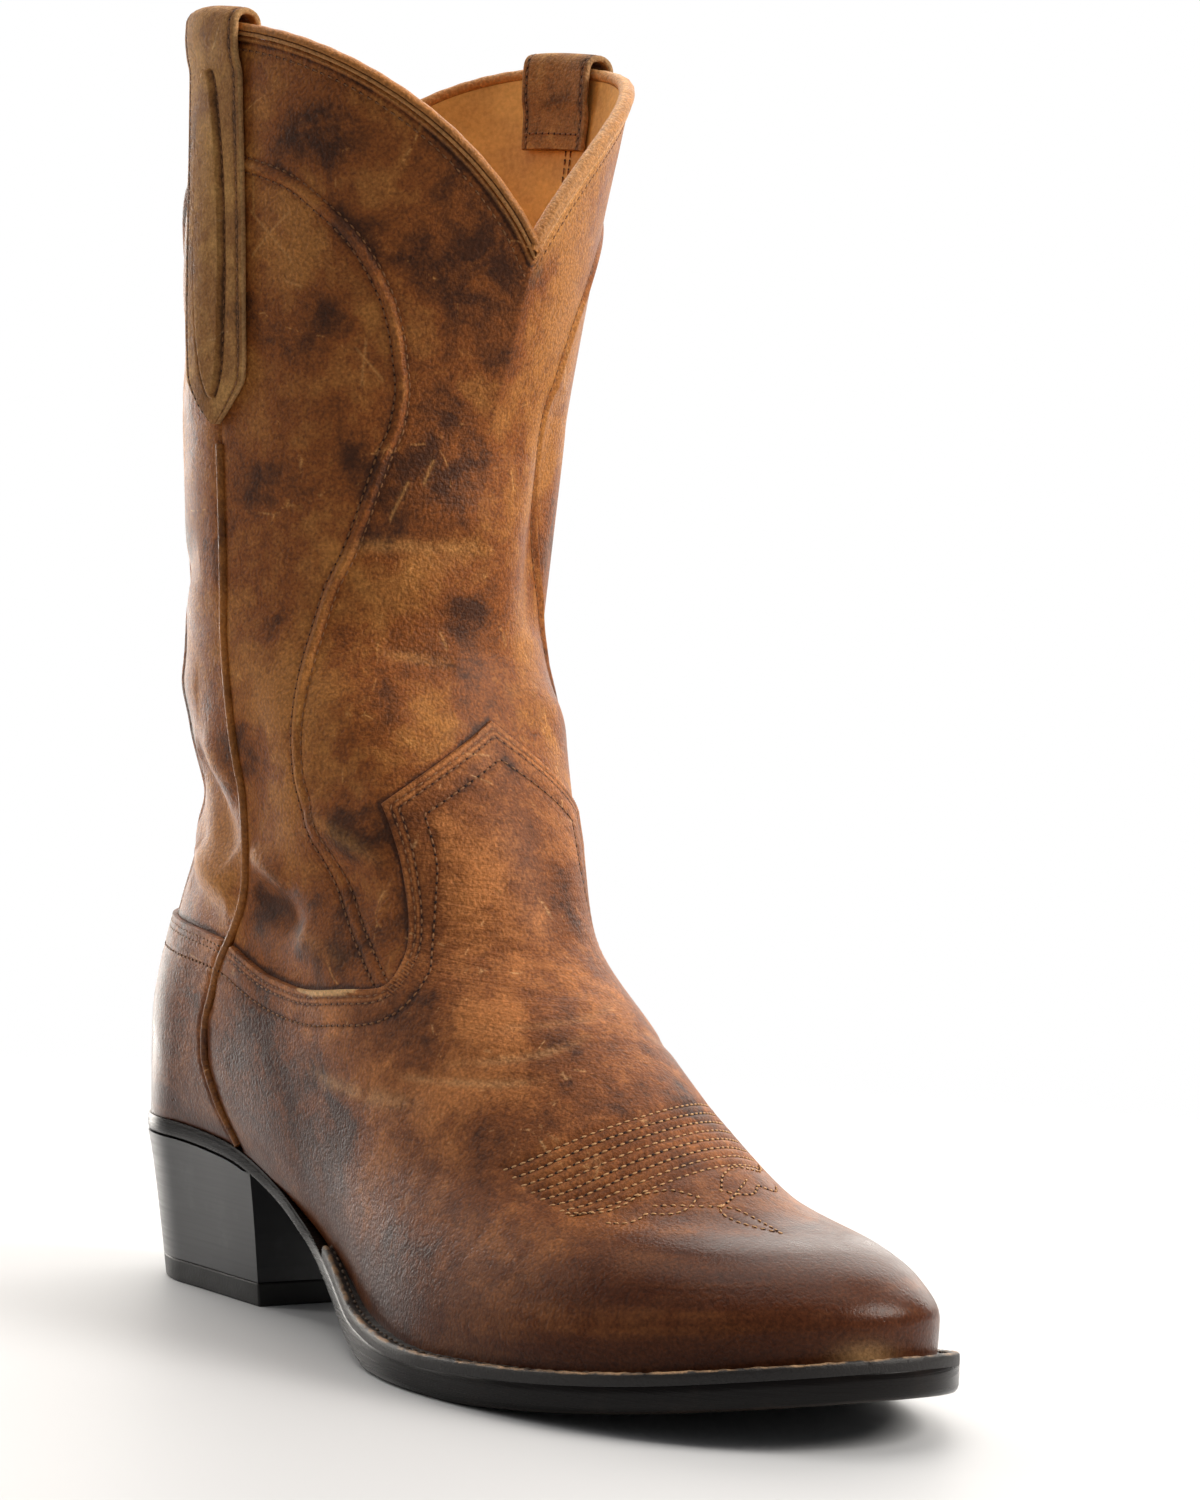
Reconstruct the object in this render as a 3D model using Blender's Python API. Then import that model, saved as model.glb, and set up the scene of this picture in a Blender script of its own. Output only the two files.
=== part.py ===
"""Western boot, right foot: lasted upper on a welted leather sole with a stacked walking heel.

Sizes are in millimetres until they are built (MM). The last's own frame is used throughout:
x runs from the heel to the toe, y to the wearer's left (the inner side), z up from the floor.
Everything is parented to one empty that puts the origin under the middle of the boot.
"""
import bmesh
import bpy
import numpy as np

for old in list(bpy.data.objects):
    bpy.data.objects.remove(old, do_unlink=True)

MM = 0.001

# Leather and clearances
WALL = 2.4             # shaft leather and lining together
SKIN = 1.2             # vamp and counter leather
GAP = 0.3              # clearance between pieces that lie on each other
SEAM_CORD = 1.3        # radius of the piping in the side seams
SEAM_SLOT = 1.85       # vamp and counter stop this far from the seam's middle
STRAP = 2.0            # pull strap thickness
STRAP_RIB = 0.9        # raised strip down the middle of a pull strap

# The last stands a little inwards: the shaft leans to the inner side above the ankle
LEAN_DEG = 0.9
LEAN_FROM = 130.0
TOE_SWING = 4.0        # the toe turns to the inner side by this much
SCALLOP = 2.35         # fullness of the collar's curve from its dips to its peaks

# Rings of the upper, from the feather line (where it meets the sole) up to the collar.
# A ring runs from its back point to its front point as seen from the side; the half widths
# stand at the heel, waist and ball of its length, outer side (out) and inner side (in).
# nose and back are the lengths over which its front and back ends round off, power the front's
# roundness, follow how far it still follows the sole's curve, rise the scallop at the two sides.
RING_COLUMNS = ("back_x", "back_z", "seam_x", "front_x", "front_z", "heel", "waist_out", "waist_in",
                "ball_out", "ball_in", "nose", "back", "power", "follow", "rise_out", "rise_in")
RINGS = {
    "feather":    (-4.5, 45.5, 71.0, 300.7, 16.7, 29.0, 31.5, 27.0, 54.5, 47.5, 92, 34, 2.05, 1.00, 0, 0),
    "bulge":      (-2.0, 58.0, 62.0, 301.2, 27.5, 32.5, 36.5, 31.5, 53.5, 49.0, 92, 38, 2.00, 0.95, 0, 0),
    "toe wall":   (-1.5, 70.0, 57.0, 295.2, 34.5, 34.0, 38.0, 35.0, 51.0, 48.0, 92, 40, 2.00, 0.85, 0, 0),
    "toe top":    (-0.5, 80.0, 58.0, 283.0, 39.7, 34.5, 38.5, 37.0, 47.0, 45.0, 94, 40, 2.05, 0.70, 0, 0),
    "vamp low":   (1.0, 90.0, 63.0, 258.5, 44.3, 34.5, 38.5, 38.0, 43.5, 42.0, 95, 42, 2.05, 0.50, 0, 0),
    "vamp mid":   (4.5, 101.0, 67.0, 228.0, 61.0, 34.5, 38.5, 38.0, 41.5, 39.0, 95, 44, 2.00, 0.30, 0, 0),
    "vamp high":  (9.5, 112.0, 74.0, 197.0, 81.5, 35.0, 38.5, 38.0, 40.0, 38.0, 84, 46, 2.00, 0.15, 0, 0),
    "instep":     (14.5, 124.0, 80.0, 167.0, 102.0, 35.5, 39.0, 39.0, 40.0, 39.0, 70, 50, 2.00, 0.05, 0, 0),
    "throat":     (19.0, 138.0, 81.0, 150.5, 132.0, 37.0, 41.5, 41.0, 42.0, 42.0, 52, 54, 2.00, 0.00, 0, 0),
    "ankle":      (16.0, 158.0, 77.0, 136.0, 158.0, 43.0, 45.0, 44.0, 44.0, 45.0, 42, 56, 2.00, 0.00, 0, 0),
    "low shaft":  (16, 190, 74.5, 125, 189, 48, 48.5, 48, 48, 48, 56, 55, 1.85, 0, 3.3, 3.8),
    "mid shaft":  (14, 233.3, 74.5, 126, 228, 53, 53.5, 53, 53, 53.5, 59, 57, 1.9, 0, 13.2, 15),
    "high shaft": (13.5, 271, 75.5, 134.5, 259, 57, 57, 57, 56.5, 57.5, 63, 61, 1.85, 0, 29.6, 33.8),
    "collar":     (13.5, 302.5, 76, 142, 282, 59, 59, 59, 57.5, 60.5, 62, 63, 1.8, 0, 47.7, 54.5),
}
STATIONS = (0.0, 0.12, 0.38, 0.69, 1.0)    # back, heel, waist, ball and front as shares of a ring

# The sole from the side: the insole line (top) and the tread (bottom), flat under the ball
SOLE_TOP = {-12: 45.5, 30: 45.2, 62: 43.0, 95: 34.0, 130: 19.2, 165: 8.7, 200: 6.6, 235: 8.1, 265: 11.0,
            300: 16.8, 312: 19.2}
SOLE_TREAD = {-12: 40.5, 30: 40.2, 62: 38.2, 95: 29.4, 130: 13.8, 160: 3.0, 178: 0.0, 214: 0.0, 240: 1.7,
              265: 4.6, 300: 10.4, 312: 12.8}
# How far the sole's edge stands out from the feather line, by distance from the heel
SOLE_REACH = {-12: 2.2, 60: 2.2, 85: 1.8, 112: 4.0, 135: 6.2, 160: 7.0, 240: 6.6, 312: 7.2}

WELT_FROM = 128.0      # the welt runs from here round the toe and back to here
WELT_THICK = 3.0
WELT_INSIDE = 3.2      # its inner edge from the feather line
INSOLE_INSET = 3.3
INSOLE_THICK = 3.0
HEEL_LIFT = 6.5        # rubber top lift under the stacked heel
HEEL_BREAST_TOP = 78.0
HEEL_BREAST_FOOT = 81.0
HEEL_BACK_FOOT = 5.0   # the back of the heel slopes in to here at the floor
HEEL_TAPER = 0.905     # width at the floor over width at the seat

# Top line of the vamp, side seam to tongue corner, then straight up to the tongue's peak
# (turn round the boot: 1 is the side seam and 2 the front; ring: row of RINGS)
VAMP_LINE = {"turn": (1.00, 1.09, 1.175, 1.315, 1.42, 1.49, 1.54, 1.57, 1.58, 1.575, 1.565),
             "ring": (5.75, 5.65, 5.75, 6.05, 6.25, 6.60, 6.95, 7.35, 7.70, 7.95, 8.20)}
TONGUE_PEAK = 9.10
COUNTER_LINE = {"turn": (0.0, 0.35, 0.66, 1.0), "ring": (5.30, 5.38, 5.50, 5.75)}

# Pull straps: legs by ring, half width, and the loop over the collar (out, up from its rim)
STRAP_HALF = 14.0
STRAP_TURN_TOP = 0.94      # its middle at the collar, drifting to the seam at its point
STRAP_LEG = {"ring": (10.86, 10.97, 11.12, 11.4, 11.8, 12.2, 12.55, 12.78),
             "share": (0.07, 0.55, 0.96, 1.0, 1.0, 1.0, 1.0, 1.0),
             "rib": (0.0, 0.0, 0.0, 1.0, 1.0, 1.0, 1.0, 0.0)}
STRAP_LOOP = ((2.2, -5.0), (2.7, 0.0), (2.6, 3.6), (1.3, 5.9), (-1.2, 6.7), (-3.8, 5.9), (-5.1, 3.6),
              (-5.1, 0.0), (-4.7, -6.0))
STRAP_INNER_RINGS = (12.78, 12.68, 12.57)
STRAP_ACROSS = (-1.0, -0.42, -0.34, 0.0, 0.34, 0.42, 1.0)

# Section of the collar binding round the rim: out from the upper's face, up from its edge
BEAD = ((0.7, 0.5), (0.95, 1.9), (-0.2, 3.4), (-2.2, 3.4), (-3.35, 1.9), (-3.1, 0.75))

# Mesh: rings up the boot, columns from the back to the side seam and from there to the front
RING_ROWS = (0, 0.5, 1, 1.5, 2, 2.5, 3, 3.5, 4, 4.6, 5.2, 5.8, 6.4, 7, 7.6, 8.2, 8.8, 9.4, 10, 10.7, 11.4,
             12, 12.5, 13)
BACK_COLUMNS = 8
FRONT_COLUMNS = 16


def through(xs, ys, x):
    """Smooth curve through the points that never overshoots them (ys may have columns)."""
    xs = np.asarray(xs, float)
    ys = np.asarray(ys, float)
    x = np.clip(np.asarray(x, float), xs[0], xs[-1])
    step = np.diff(xs)
    wide = (slice(None),) + (None,) * (ys.ndim - 1)
    rise = np.diff(ys, axis=0) / step[wide]
    slope = np.zeros_like(ys)
    before, after = rise[:-1], rise[1:]
    same = before * after > 0
    slope[1:-1] = np.where(same, 2 * before * after / np.where(same, before + after, 1), 0)
    slope[0], slope[-1] = rise[0], rise[-1]
    i = np.clip(np.searchsorted(xs, x, side="right") - 1, 0, len(xs) - 2)
    tall = (...,) + (None,) * (ys.ndim - 1)
    t = ((x - xs[i]) / step[i])[tall]
    h = step[i][tall]
    return ((1 + 2 * t) * (1 - t) ** 2 * ys[i] + t * (1 - t) ** 2 * h * slope[i]
            + t * t * (3 - 2 * t) * ys[i + 1] + t * t * (t - 1) * h * slope[i + 1])


def from_table(table, x):
    return through(list(table), list(table.values()), x)


RING_TABLE = np.array(list(RINGS.values()), float)


def ring_sizes(ring):
    row = through(np.arange(len(RING_TABLE)), RING_TABLE, ring)
    return {name: row[..., k] for k, name in enumerate(RING_COLUMNS)}


def along(values, share):
    """Half width along a ring from its values at the stations."""
    out = values[0]
    for k in range(len(STATIONS) - 1):
        t = np.clip((share - STATIONS[k]) / (STATIONS[k + 1] - STATIONS[k]), 0, 1)
        out = out + (values[k + 1] - values[k]) * t * t * (3 - 2 * t)
    return out


def leaned(p):
    """The shaft's lean: a turn about the x axis that grows from the ankle up."""
    tilt = np.radians(LEAN_DEG) * np.clip((p[..., 2] - LEAN_FROM) / 60, 0, 1)
    up = np.maximum(p[..., 2] - LEAN_FROM, 0)
    y = p[..., 1] * np.cos(tilt) + up * np.sin(tilt)
    z = p[..., 2] + up * (np.cos(tilt) - 1) - p[..., 1] * np.sin(tilt)
    return np.stack([p[..., 0], y, z], -1)


def form(ring, turn):
    """Point of the upper's outer face. turn: 0 back, 1 outer seam, 2 front, 3 inner seam."""
    ring, turn = np.broadcast_arrays(np.asarray(ring, float), np.mod(np.asarray(turn, float), 4))
    side = np.where(turn <= 2, -1.0, 1.0)
    a = np.where(turn <= 2, turn, 4 - turn)
    c = ring_sizes(ring)
    length = c["front_x"] - c["back_x"]
    seam = (c["seam_x"] - c["back_x"]) / length
    share = np.where(a < 1, seam * (1 - np.cos(np.clip(a, 0, 1) * np.pi / 2)),
                     seam + (1 - seam) * np.sin(np.clip(a - 1, 0, 1) * np.pi / 2))
    x = c["back_x"] + share * length
    foot = {name: RING_TABLE[0][k] for k, name in enumerate(RING_COLUMNS)}
    foot_x = foot["back_x"] + share * (foot["front_x"] - foot["back_x"])
    sag = from_table(SOLE_TOP, foot_x) - (foot["back_z"] + (foot["front_z"] - foot["back_z"]) * share)
    to_seam = np.where(a < 1, a, 2 - a)
    rise = np.where(side < 0, c["rise_out"], c["rise_in"])
    z = (c["back_z"] + (c["front_z"] - c["back_z"]) * share + c["follow"] * sag
         + rise * (1 - (1 - to_seam) ** SCALLOP))
    outer = along((c["heel"], c["heel"], c["waist_out"], c["ball_out"], c["ball_out"]), share)
    inner = along((c["heel"], c["heel"], c["waist_in"], c["ball_in"], c["ball_in"]), share)
    back_end = 1 - np.clip(share * length / c["back"], 0, 1)
    front_end = 1 - np.clip((1 - share) * length / c["nose"], 0, 1)
    rounding = np.sqrt(1 - back_end ** 2) * (1 - front_end ** c["power"]) ** (1 / c["power"])
    swing = TOE_SWING * np.clip((x - 150) / 150, 0, 1) ** 2
    y = side * np.where(side < 0, outer, inner) * rounding + swing
    return leaned(np.stack([x, y, z], -1))


def frame_at(ring, turn):
    """Point, unit normal outwards, and unit direction up the boot."""
    dr, dt = 0.02, 0.01
    p = form(ring, turn)
    lo = np.clip(np.asarray(ring, float) - dr, 0, len(RING_TABLE) - 1)
    hi = np.clip(np.asarray(ring, float) + dr, 0, len(RING_TABLE) - 1)
    up = form(hi, turn) - form(lo, turn)
    round_ = form(ring, np.asarray(turn) + dt) - form(ring, np.asarray(turn) - dt)
    normal = np.cross(round_, up)
    normal /= np.linalg.norm(normal, axis=-1, keepdims=True)
    up /= np.linalg.norm(up, axis=-1, keepdims=True)
    return p, normal, up


def skin(ring, turn, out):
    p, normal, _ = frame_at(ring, turn)
    return p + normal * np.asarray(out, float)[..., None]


COLUMN_TURNS = np.concatenate([np.arange(BACK_COLUMNS) / BACK_COLUMNS,
                               1 + np.arange(FRONT_COLUMNS) / FRONT_COLUMNS])
COLUMN_TURNS = np.concatenate([COLUMN_TURNS, [2.0], 4 - COLUMN_TURNS[:0:-1]])
ROWS = np.array(RING_ROWS, float)

boot = bpy.data.collections.new("western boot")
bpy.context.scene.collection.children.link(boot)
stand = bpy.data.objects.new("western_boot", None)
boot.objects.link(stand)


def leather(name, colour, rough):
    mat = bpy.data.materials.new(name)
    mat.use_nodes = True
    shader = mat.node_tree.nodes["Principled BSDF"]
    shader.inputs["Base Color"].default_value = (*colour, 1)
    shader.inputs["Roughness"].default_value = rough
    return mat


SHAFT = leather("waxed shaft leather", (0.20, 0.085, 0.025), 0.55)
VAMP = leather("burnished vamp leather", (0.115, 0.045, 0.018), 0.45)
CORD = leather("piping leather", (0.10, 0.040, 0.016), 0.5)
PULL = leather("pull strap leather", (0.17, 0.085, 0.035), 0.6)
SOLE = leather("sole edge leather", (0.018, 0.012, 0.009), 0.4)
LINING = leather("insole leather", (0.42, 0.20, 0.06), 0.7)
RUBBER = leather("heel rubber", (0.012, 0.011, 0.010), 0.55)


def solid(name, points, faces, material):
    """One closed body, faces turned outwards and shaded smooth."""
    mesh = bpy.data.meshes.new(name)
    mesh.from_pydata([tuple(p * MM) for p in points], [], faces)
    bm = bmesh.new()
    bm.from_mesh(mesh)
    bmesh.ops.remove_doubles(bm, verts=bm.verts, dist=0.000004)
    bmesh.ops.recalc_face_normals(bm, faces=bm.faces)
    bmesh.ops.triangulate(bm, faces=bm.faces, quad_method="SHORT_EDGE")
    for f in bm.faces:
        f.smooth = True
    bm.to_mesh(mesh)
    bm.free()
    mesh.materials.append(material)
    ob = bpy.data.objects.new(name, mesh)
    boot.objects.link(ob)
    ob.parent = stand
    return ob


def shell(name, outer, inner, material):
    """Closed wall between two grids of rings, open at its first and last ring."""
    rows, cols = outer.shape[:2]
    n = rows * cols
    faces = []
    for i in range(rows - 1):
        for j in range(cols):
            k = (j + 1) % cols
            a, b, c, d = i * cols + j, i * cols + k, (i + 1) * cols + k, (i + 1) * cols + j
            faces += [(a, b, c, d), (n + d, n + c, n + b, n + a)]
    for j in range(cols):
        k = (j + 1) % cols
        top = (rows - 1) * cols
        faces += [(j, n + j, n + k, k), (top + j, top + k, n + top + k, n + top + j)]
    return solid(name, np.concatenate([outer.reshape(-1, 3), inner.reshape(-1, 3)]), faces, material)


def sweep(name, sections, material, closed):
    """Body through a list of like sections; a closed one runs round to its start."""
    count, k = sections.shape[:2]
    faces = []
    for i in range(count if closed else count - 1):
        j = (i + 1) % count
        for m in range(k):
            q = (m + 1) % k
            faces.append((i * k + m, i * k + q, j * k + q, j * k + m))
    if not closed:
        faces += [tuple(range(k)), tuple((count - 1) * k + m for m in reversed(range(k)))]
    return solid(name, sections.reshape(-1, 3), faces, material)


def plank(name, outer, inner, material):
    """Body through stations along the boot; each holds its edge from top to bottom on both sides."""
    count, k = outer.shape[:2]
    n = count * k
    faces = []
    for i in range(count - 1):
        for m in range(k - 1):
            a, b = i * k + m, (i + 1) * k + m
            faces += [(a, b, b + 1, a + 1), (n + a, n + a + 1, n + b + 1, n + b)]
        for m in (0, k - 1):
            a, b = i * k + m, (i + 1) * k + m
            faces.append((a, b, n + b, n + a))
    for i in (0, count - 1):
        for m in range(k - 1):
            a = i * k + m
            faces.append((a, a + 1, n + a + 1, n + a))
    return solid(name, np.concatenate([outer.reshape(-1, 3), inner.reshape(-1, 3)]), faces, material)


# Upper: shaft, foot and lining in one wall
turns, rows = np.meshgrid(COLUMN_TURNS, ROWS)
outer_face = skin(rows, turns, np.zeros(rows.shape))
inner_face = skin(rows, turns, np.full(rows.shape, -WALL))
inner_face[0, :, 2] = np.maximum(inner_face[0, :, 2], outer_face[0, :, 2])
shell("upper", outer_face, inner_face, SHAFT)


# Vamp and counter: cut flat as patterns on the ring grid, then lasted onto the upper
def pattern_piece(name, outline, first_turn, last_turn, top_ring, material):
    """Leather cut to the outline (turn, ring) and laid on the upper."""
    columns = np.concatenate([COLUMN_TURNS - 4, COLUMN_TURNS, COLUMN_TURNS + 4])
    columns = columns[(columns > first_turn - 0.2) & (columns < last_turn + 0.2)]
    levels = ROWS[ROWS <= top_ring + 0.7]
    cols, levs = len(columns), len(levels)
    flat = np.array([(c, r, z) for z in (0, 1) for r in range(levs) for c in range(cols)], float)
    n = cols * levs
    faces = []
    for r in range(levs - 1):
        for c in range(cols - 1):
            a = r * cols + c
            faces += [(a, a + cols, a + cols + 1, a + 1), (n + a, n + a + 1, n + a + cols + 1, n + a + cols)]
    for c in range(cols - 1):
        t = (levs - 1) * cols + c
        faces += [(c, c + 1, n + c + 1, n + c), (t, n + t, n + t + 1, t + 1)]
    for r in range(levs - 1):
        a, b = r * cols, r * cols + cols - 1
        faces += [(a, n + a, n + a + cols, a + cols), (b, b + cols, n + b + cols, n + b)]
    sheet = bpy.data.meshes.new(name + " sheet")
    sheet.from_pydata(flat.tolist(), [], faces)
    sheet_ob = bpy.data.objects.new(name + " sheet", sheet)
    boot.objects.link(sheet_ob)

    edge = np.stack([np.interp(outline[:, 0], columns, np.arange(cols)),
                     np.interp(outline[:, 1], levels, np.arange(levs))], 1)
    edge[:, 1] = np.where(outline[:, 1] < 0, -0.5, edge[:, 1])
    m = len(edge)
    knife = bpy.data.meshes.new(name + " knife")
    knife.from_pydata([(x, y, z) for z in (-0.5, 1.5) for x, y in edge], [],
                      [tuple(reversed(range(m))), tuple(range(m, 2 * m))]
                      + [(i, (i + 1) % m, m + (i + 1) % m, m + i) for i in range(m)])
    knife_ob = bpy.data.objects.new(name + " knife", knife)
    boot.objects.link(knife_ob)
    for mesh in (sheet, knife):
        bm = bmesh.new()
        bm.from_mesh(mesh)
        bmesh.ops.recalc_face_normals(bm, faces=bm.faces)
        bm.to_mesh(mesh)
        bm.free()
    cut = sheet_ob.modifiers.new("cut", "BOOLEAN")
    cut.operation = "INTERSECT"
    cut.solver = "EXACT"
    cut.object = knife_ob
    bpy.context.view_layer.update()
    evaluated = sheet_ob.evaluated_get(bpy.context.evaluated_depsgraph_get())
    cut_mesh = bpy.data.meshes.new_from_object(evaluated)
    flat_cut = np.array([v.co for v in cut_mesh.vertices])
    polygons = [tuple(p.vertices) for p in cut_mesh.polygons]
    for ob in (sheet_ob, knife_ob):
        bpy.data.objects.remove(ob, do_unlink=True)

    grid_turn, grid_ring = np.meshgrid(columns, levels)
    face, normal, _ = frame_at(grid_ring, grid_turn)
    c = np.clip(flat_cut[:, 0].astype(int), 0, cols - 2)
    r = np.clip(flat_cut[:, 1].astype(int), 0, levs - 2)
    u = (flat_cut[:, 0] - c)[:, None]
    w = (flat_cut[:, 1] - r)[:, None]

    def laid(grid):
        return ((1 - u) * (1 - w) * grid[r, c] + u * (1 - w) * grid[r, c + 1]
                + (1 - u) * w * grid[r + 1, c] + u * w * grid[r + 1, c + 1])

    lasted = laid(face) + laid(normal) * (GAP + 0.05 + SKIN * flat_cut[:, 2:])
    lasted[:, 2] = np.maximum(lasted[:, 2], from_table(SOLE_TOP, lasted[:, 0]) + 0.05)
    return solid(name, lasted, polygons, material)


def slot(ring, towards):
    """Turn that lies SEAM_SLOT from the side seam, before (-1) or after (+1) it."""
    reach = np.linalg.norm(form(ring, 1 + towards * 0.02) - form(ring, 1.0), axis=-1)
    return 1 + towards * 0.02 * SEAM_SLOT / reach


def resample(turn, ring, count):
    t = np.linspace(0, len(turn) - 1, count)
    return np.stack([through(np.arange(len(turn)), turn, t), through(np.arange(len(ring)), ring, t)], 1)


seam_rings = np.linspace(-0.5, VAMP_LINE["ring"][0], 14)
vamp_seam = np.stack([slot(np.maximum(seam_rings, 0), 1), seam_rings], 1)
vamp_side = resample(VAMP_LINE["turn"], VAMP_LINE["ring"], 31)
vamp_side = vamp_side[vamp_side[:, 0] > vamp_seam[-1, 0] + 0.004]
half = np.concatenate([vamp_seam, vamp_side, [(1.78, (VAMP_LINE["ring"][-1] + TONGUE_PEAK) / 2)]])
vamp_outline = np.concatenate([half, [(2.0, TONGUE_PEAK)], np.stack([4 - half[::-1, 0], half[::-1, 1]], 1)])
pattern_piece("vamp", vamp_outline, 1.0, 3.0, TONGUE_PEAK, VAMP)

counter_seam = np.stack([slot(np.maximum(seam_rings, 0), -1), seam_rings], 1)
counter_top = resample(COUNTER_LINE["turn"], COUNTER_LINE["ring"], 13)
counter_top = counter_top[counter_top[:, 0] < counter_seam[-1, 0] - 0.01]
half = np.concatenate([counter_seam, counter_top[:0:-1]])
counter_outline = np.concatenate([half, [counter_top[0]], np.stack([-half[::-1, 0], half[::-1, 1]], 1)])
pattern_piece("heel_counter", counter_outline, -1.0, 1.0, COUNTER_LINE["ring"][-1], VAMP)


# Piping in the side seams, from the sole up to the pull strap's point
def piping(name, seam_turn):
    rings = np.concatenate([[0.12], ROWS[(ROWS > 0.2) & (ROWS < 10.5)], [STRAP_LEG["ring"][0] - 0.12]])
    p, normal, up = frame_at(rings, np.full(len(rings), float(seam_turn)))
    across = np.cross(normal, up)
    core = p + normal * (SEAM_CORD + GAP + 0.05)
    sides = 6
    angle = (np.arange(sides) + 0.5) * 2 * np.pi / sides
    sections = (core[:, None] + SEAM_CORD * (np.cos(angle)[None, :, None] * across[:, None]
                                              + np.sin(angle)[None, :, None] * normal[:, None]))
    return sweep(name, sections, CORD, False)


piping("side_piping_outer", 1)
piping("side_piping_inner", 3)


# Collar binding: a bead that sits on the scalloped rim
rim, rim_normal, rim_up = frame_at(np.full(len(COLUMN_TURNS), float(len(RINGS) - 1)), COLUMN_TURNS)
along_rim = np.roll(rim, -1, 0) - np.roll(rim, 1, 0)
above = np.cross(rim_normal, along_rim)
above /= np.linalg.norm(above, axis=1)[:, None]
above *= np.sign((above * rim_up).sum(1))[:, None]
tips = np.isin(COLUMN_TURNS, (0.0, 2.0))
above *= np.where(tips, 1.5, 1.0)[:, None]
bead = np.stack([rim + rim_normal * out + above * high for out, high in BEAD], 1)
sweep("collar_binding", bead, CORD, True)


# Pull straps: down the outside to a point, over the collar, a short leg inside
def pull_strap(name, mirrored):
    rings = np.array(STRAP_LEG["ring"])
    top = float(len(RINGS) - 1)
    per_turn = np.linalg.norm(form(12.0, 1.05) - form(12.0, 0.95)) / 0.1
    middle = []
    ribs = []
    plan = [("leg", r, s, b) for r, s, b in zip(rings, STRAP_LEG["share"], STRAP_LEG["rib"])]
    plan += [("loop", k, 1.0, 0.0) for k in range(len(STRAP_LOOP))]
    plan += [("inside", r, 1.0, 0.0) for r in STRAP_INNER_RINGS]
    for kind, where, share, rib in plan:
        ring = where if kind != "loop" else top
        drift = np.clip((ring - rings[0]) / (top - rings[0]), 0, 1)
        mid_turn = 1 + (STRAP_TURN_TOP - 1) * drift
        turn = mid_turn + np.array(STRAP_ACROSS) * share * STRAP_HALF / per_turn
        if mirrored:
            turn = 4 - turn
        if kind == "leg":
            line = skin(np.full(len(turn), ring), turn, np.full(len(turn), GAP + 0.1 + STRAP / 2))
        elif kind == "inside":
            line = skin(np.full(len(turn), ring), turn, np.full(len(turn), -WALL - 0.6 - STRAP / 2))
        else:
            out, high = STRAP_LOOP[where]
            p, normal, up = frame_at(np.full(len(turn), top), turn)
            line = p + normal * out + up * high
        middle.append(line)
        ribs.append(rib * STRAP_RIB * (np.abs(STRAP_ACROSS) < 0.4))
    middle = np.array(middle)
    ribs = np.array(ribs)
    down = np.gradient(middle, axis=0)
    across = np.gradient(middle, axis=1)
    face = np.cross(across, down)
    face /= np.linalg.norm(face, axis=2)[..., None]
    if (face[3, 3] * frame_at(11.4, 1.0 if not mirrored else 3.0)[1]).sum() < 0:
        face = -face
    outside = middle + face * (STRAP / 2 + ribs)[..., None]
    inside = middle - face * (STRAP / 2)
    count, k = middle.shape[:2]
    n = count * k
    faces = []
    for i in range(count - 1):
        for j in range(k - 1):
            a = i * k + j
            faces += [(a, a + 1, a + k + 1, a + k), (n + a, n + a + k, n + a + k + 1, n + a + 1)]
        for j in (0, k - 1):
            a = i * k + j
            faces.append((a, a + k, n + a + k, n + a))
    for i in (0, count - 1):
        for j in range(k - 1):
            a = i * k + j
            faces.append((a, n + a, n + a + 1, a + 1))
    return solid(name, np.concatenate([outside.reshape(-1, 3), inside.reshape(-1, 3)]), faces, PULL)


pull_strap("pull_strap_outer", False)
pull_strap("pull_strap_inner", True)


# Sole: outlines are the feather line let out or taken in
def feather_offset(reach):
    """Feather line moved outwards in plan by reach(x); returns it with its turns."""
    turn = np.linspace(0, 4, 1601)[:-1]
    p = form(np.zeros(len(turn)), turn)
    tangent = np.roll(p, -1, 0)[:, :2] - np.roll(p, 1, 0)[:, :2]
    tangent /= np.linalg.norm(tangent, axis=1)[:, None]
    outwards = np.stack([tangent[:, 1], -tangent[:, 0]], 1)
    return turn, p[:, :2] + outwards * np.asarray(reach(p[:, 0]))[:, None]


def half_outlines(reach):
    """y of the outline on the outer and inner side as functions of x, and its two ends."""
    turn, line = feather_offset(reach)
    ends = line[:, 0].min(), line[:, 0].max()
    outer = line[turn <= 2]
    inner = line[turn >= 2][::-1]
    cut = [side[np.argsort(side[:, 0])] for side in (outer, inner)]
    return [lambda x, s=side: np.interp(x, s[:, 0], s[:, 1]) for side in cut], ends


sole_reach = lambda x: from_table(SOLE_REACH, x)
feather_x = form(0, np.concatenate([np.arange(BACK_COLUMNS + 1) / BACK_COLUMNS,
                                    1 + np.arange(1, FRONT_COLUMNS + 1) / FRONT_COLUMNS]))[:, 0]


def stations(ends, hi=None):
    """Stations shared with the feather line, closed in towards both ends of the outline."""
    first, last = ends
    x = feather_x[(feather_x > first + 1.2) & (feather_x < last - 1.2)]
    x = np.concatenate([x, [178.0, 214.0]])
    x = x[(np.abs(x - 178) > 6) | (x == 178)]
    x = np.sort(x[(np.abs(x - 214) > 6) | (x == 214)])
    x = np.concatenate([[first + 0.04, first + 0.45], x, [last - 0.45, last - 0.04]])
    if hi is not None:
        x = np.concatenate([x[x < hi - 3], [hi]])
    return x


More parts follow.
